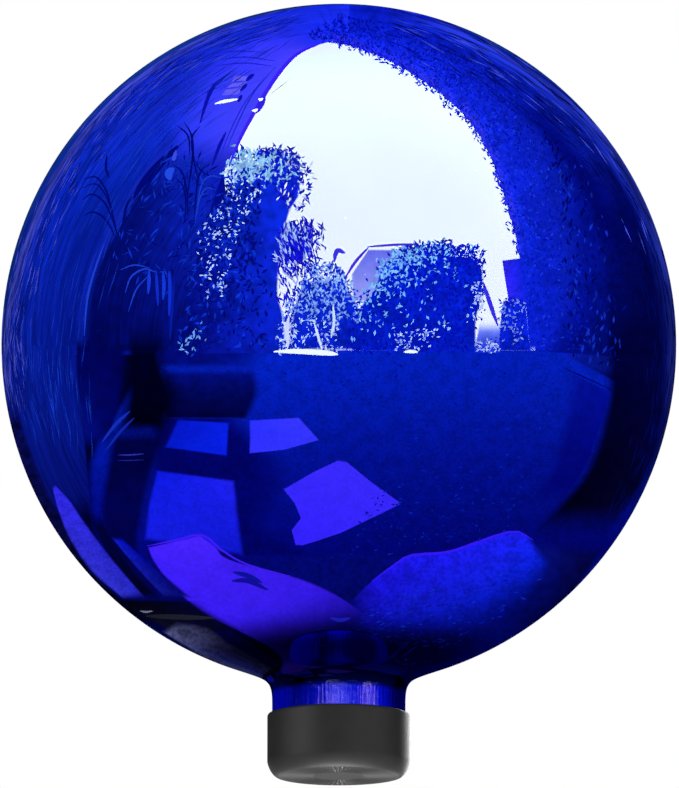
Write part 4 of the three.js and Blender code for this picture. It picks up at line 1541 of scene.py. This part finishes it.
# What the mirror shows low and high between the cards, near its outline, and the heights between which
# the one turns into the other, in shares of the surround's radius
SURROUND_COLOURS = ((0, 2, 60), (4, 20, 160))
SURROUND_PLACE_SHARE = 0.9
SURROUND_HEIGHT_SHARES = (-0.1, 0.5)
SURROUND_GRAIN = 9.0
SURROUND_LIGHT_SHARES = (0.4, 1.0)


def add_camera(studio):
    """The camera, level and looking up at the globe, with its lens from the pixel's real width."""
    eye, right, up, forward = camera_frame(studio)
    data = bpy.data.cameras.new("Camera")
    data.sensor_width = FILM_MM
    data.lens = FILM_MM * studio.camera_distance / (PICTURE_HEIGHT_PX * studio.pixel_width)
    data.clip_start = studio.camera_distance * CLIP_SHARE
    data.clip_end = studio.camera_distance + studio.floor_radius
    camera = bpy.data.objects.new("Camera", data)
    camera.matrix_world = Matrix.Translation(eye) @ Matrix((right, up, -forward)).transposed().to_4x4()
    bpy.context.scene.collection.objects.link(camera)
    bpy.context.scene.camera = camera


# How far along its way to the globe the camera starts to see
CLIP_SHARE = 0.1


class GLOBE_OT_add_glass(bpy.types.Operator):
    """Add the blown glass ball and neck"""

    bl_idname = "gazing_globe.add_glass"
    bl_label = "Glass"

    def execute(self, context):
        sizes = context.scene.gazing_globe
        rim_top = GLOBE_LOW.z + sizes.rim_round
        outer = globe_outline(sizes, BALL_ROWS, SHOULDER_ROWS, NECK_ROWS, rim_top)
        inner = globe_outline(sizes, INNER_BALL_ROWS, INNER_SHOULDER_ROWS, INNER_NECK_ROWS, rim_top)
        wall = inset(inner, sizes.ball_wall, sizes.neck_wall)
        neck = sizes.neck_width / 2
        rim = rounded_rim(neck - sizes.neck_wall, neck, GLOBE_LOW.z, sizes.rim_round)
        skin = outer[0][::-1]
        profile = np.concatenate([wall, rim[1:-1], skin])
        last_of_rim = len(profile) - len(skin) - 1
        slots = (np.arange(len(profile)) < last_of_rim).astype(int)
        materials = [mirrored_glass(sizes), cut_glass(sizes)]
        piece = turned_object("blown_glass", profile, GLOBE_TURNS, materials, blown_wave(sizes), slots)
        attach(piece, "globe")
        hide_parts("glass_globe")
        return {"FINISHED"}


class GLOBE_OT_add_silver(bpy.types.Operator):
    """Add the silver film inside the glass"""

    bl_idname = "gazing_globe.add_silver"
    bl_label = "Silver"

    def execute(self, context):
        sizes = context.scene.gazing_globe
        outline = globe_outline(sizes, INNER_BALL_ROWS, INNER_SHOULDER_ROWS, INNER_NECK_ROWS, LINING_LOW.z)
        ball = sizes.ball_wall + sizes.lining_gap
        neck = sizes.neck_wall + sizes.lining_gap
        outer = inset(outline, ball, neck)
        inner = inset(outline, ball + sizes.lining_thickness, neck + sizes.lining_thickness)
        profile = np.concatenate([inner, outer[::-1]])
        piece = turned_object("silver", profile, INNER_TURNS, [silver_film(sizes)])
        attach(piece, "globe")
        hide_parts("silver_lining")
        return {"FINISHED"}


class GLOBE_OT_add_washer(bpy.types.Operator):
    """Add the soft washer between the glass rim and the cap"""

    bl_idname = "gazing_globe.add_washer"
    bl_label = "Washer"

    def execute(self, context):
        sizes = context.scene.gazing_cap
        profile = washer_profile(sizes, context.scene.gazing_globe)
        rubber = moulded_rubber("Washer rubber", sizes.washer_colour, WASHER_GRAIN_SCALE)
        piece = turned_object("washer", profile, WASHER_TURNS, [rubber])
        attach(piece, "gasket")
        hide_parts("neck_gasket")
        return {"FINISHED"}


class GLOBE_OT_add_cap(bpy.types.Operator):
    """Add the moulded cap with its ribbed foot"""

    bl_idname = "gazing_globe.add_cap"
    bl_label = "Cap"

    def execute(self, context):
        sizes = context.scene.gazing_cap
        rubber = moulded_rubber("Cap rubber", sizes.rubber_colour, CAP_GRAIN_SCALE)
        turns = sizes.rib_count * POINTS_PER_RIB
        piece = turned_object("moulded_cap", cap_profile(sizes), turns, [rubber], foot_ribs(sizes))
        piece.visible_glossy = False
        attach(piece, "cap")
        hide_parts("end_cap")
        return {"FINISHED"}


class GLOBE_OT_add_studio(bpy.types.Operator):
    """Add the camera, the pale floor, the lights and the cards that the mirror shows"""

    bl_idname = "gazing_globe.add_studio"
    bl_label = "Studio"

    def execute(self, context):
        studio = context.scene.gazing_studio
        mirror = ball_mirror(context.scene.gazing_globe)
        context.scene.view_settings.view_transform = "Standard"
        add_camera(studio)
        add_world(studio)
        add_floor(studio)
        glass_only = receivers("Glass", ["blown_glass"])
        add_surround(studio, glass_only)
        slips = slip_material()
        for card in CARDS:
            only_in_mirror(card_object(card, mirror, studio), glass_only)
        for seed, tuft in enumerate(TUFTS):
            only_in_mirror(tuft_object(tuft, mirror, studio, slips, seed), glass_only)
        only_in_mirror(stroke_object("strokes", STROKES_PX, mirror, studio, slips), glass_only)
        cap_only = receivers("Cap", ["moulded_cap", "washer", "silver"])
        middle = (0, 0, CAP_HIGH.z / 2)
        for name, place, size, power in CAP_LAMPS:
            lamp = area_lamp(name, around(*place), middle, size, power)
            lamp.light_linking.receiver_collection = cap_only
        overhead = area_lamp("overhead_lamp", (0, 0, OVERHEAD_HEIGHT), middle, OVERHEAD_SIZE, OVERHEAD_POWER)
        overhead.visible_glossy = False
        return {"FINISHED"}


OVERHEAD_HEIGHT = 3
OVERHEAD_SIZE = 2.5
OVERHEAD_POWER = 60

# Soft lamps on the cap: name, (distance, azimuth, elevation), size and power
CAP_LAMPS = (
    ("side_lamp", (1.2, -62, 11), 0.6, 3.6),
    ("front_lamp", (1.2, 50, 11), 1.4, 4.2),
    ("rim_lamp", (1.2, 160, 11), 0.7, 16.0),
    ("foot_lamp", (0.8, 180, -20), 0.9, 0.9),
    ("under_lamp", (0.25, 0, -87), 0.12, 0.82),
)


class GLOBE_PT_panel(bpy.types.Panel):
    """Lists the settings and the steps"""

    bl_label = "Gazing globe"
    bl_space_type = "VIEW_3D"
    bl_region_type = "UI"
    bl_category = "Gazing globe"

    def draw(self, context):
        for label, steps in STEPS:
            settings = getattr(context.scene, label)
            box = self.layout.box()
            for key in type(settings).__annotations__:
                box.prop(settings, key)
            for step in steps:
                box.operator(step.bl_idname)


SETTINGS = {"gazing_globe": GlobeSettings, "gazing_cap": CapSettings, "gazing_studio": StudioSettings}

STEPS = (
    ("gazing_globe", (GLOBE_OT_add_glass, GLOBE_OT_add_silver)),
    ("gazing_cap", (GLOBE_OT_add_washer, GLOBE_OT_add_cap)),
    ("gazing_studio", (GLOBE_OT_add_studio,)),
)

OPERATORS = [step for _, steps in STEPS for step in steps]
CLASSES = (*SETTINGS.values(), *OPERATORS, GLOBE_PT_panel)


def register():
    for cls in CLASSES:
        bpy.utils.register_class(cls)
    for key, settings in SETTINGS.items():
        setattr(bpy.types.Scene, key, bpy.props.PointerProperty(type=settings))


def unregister():
    for key in SETTINGS:
        delattr(bpy.types.Scene, key)
    for cls in reversed(CLASSES):
        bpy.utils.unregister_class(cls)


def main():
    register()
    bpy.ops.gazing_globe.add_glass()
    bpy.ops.gazing_globe.add_silver()
    bpy.ops.gazing_globe.add_washer()
    bpy.ops.gazing_globe.add_cap()
    bpy.ops.gazing_globe.add_studio()


if __name__ == "__main__":
    main()
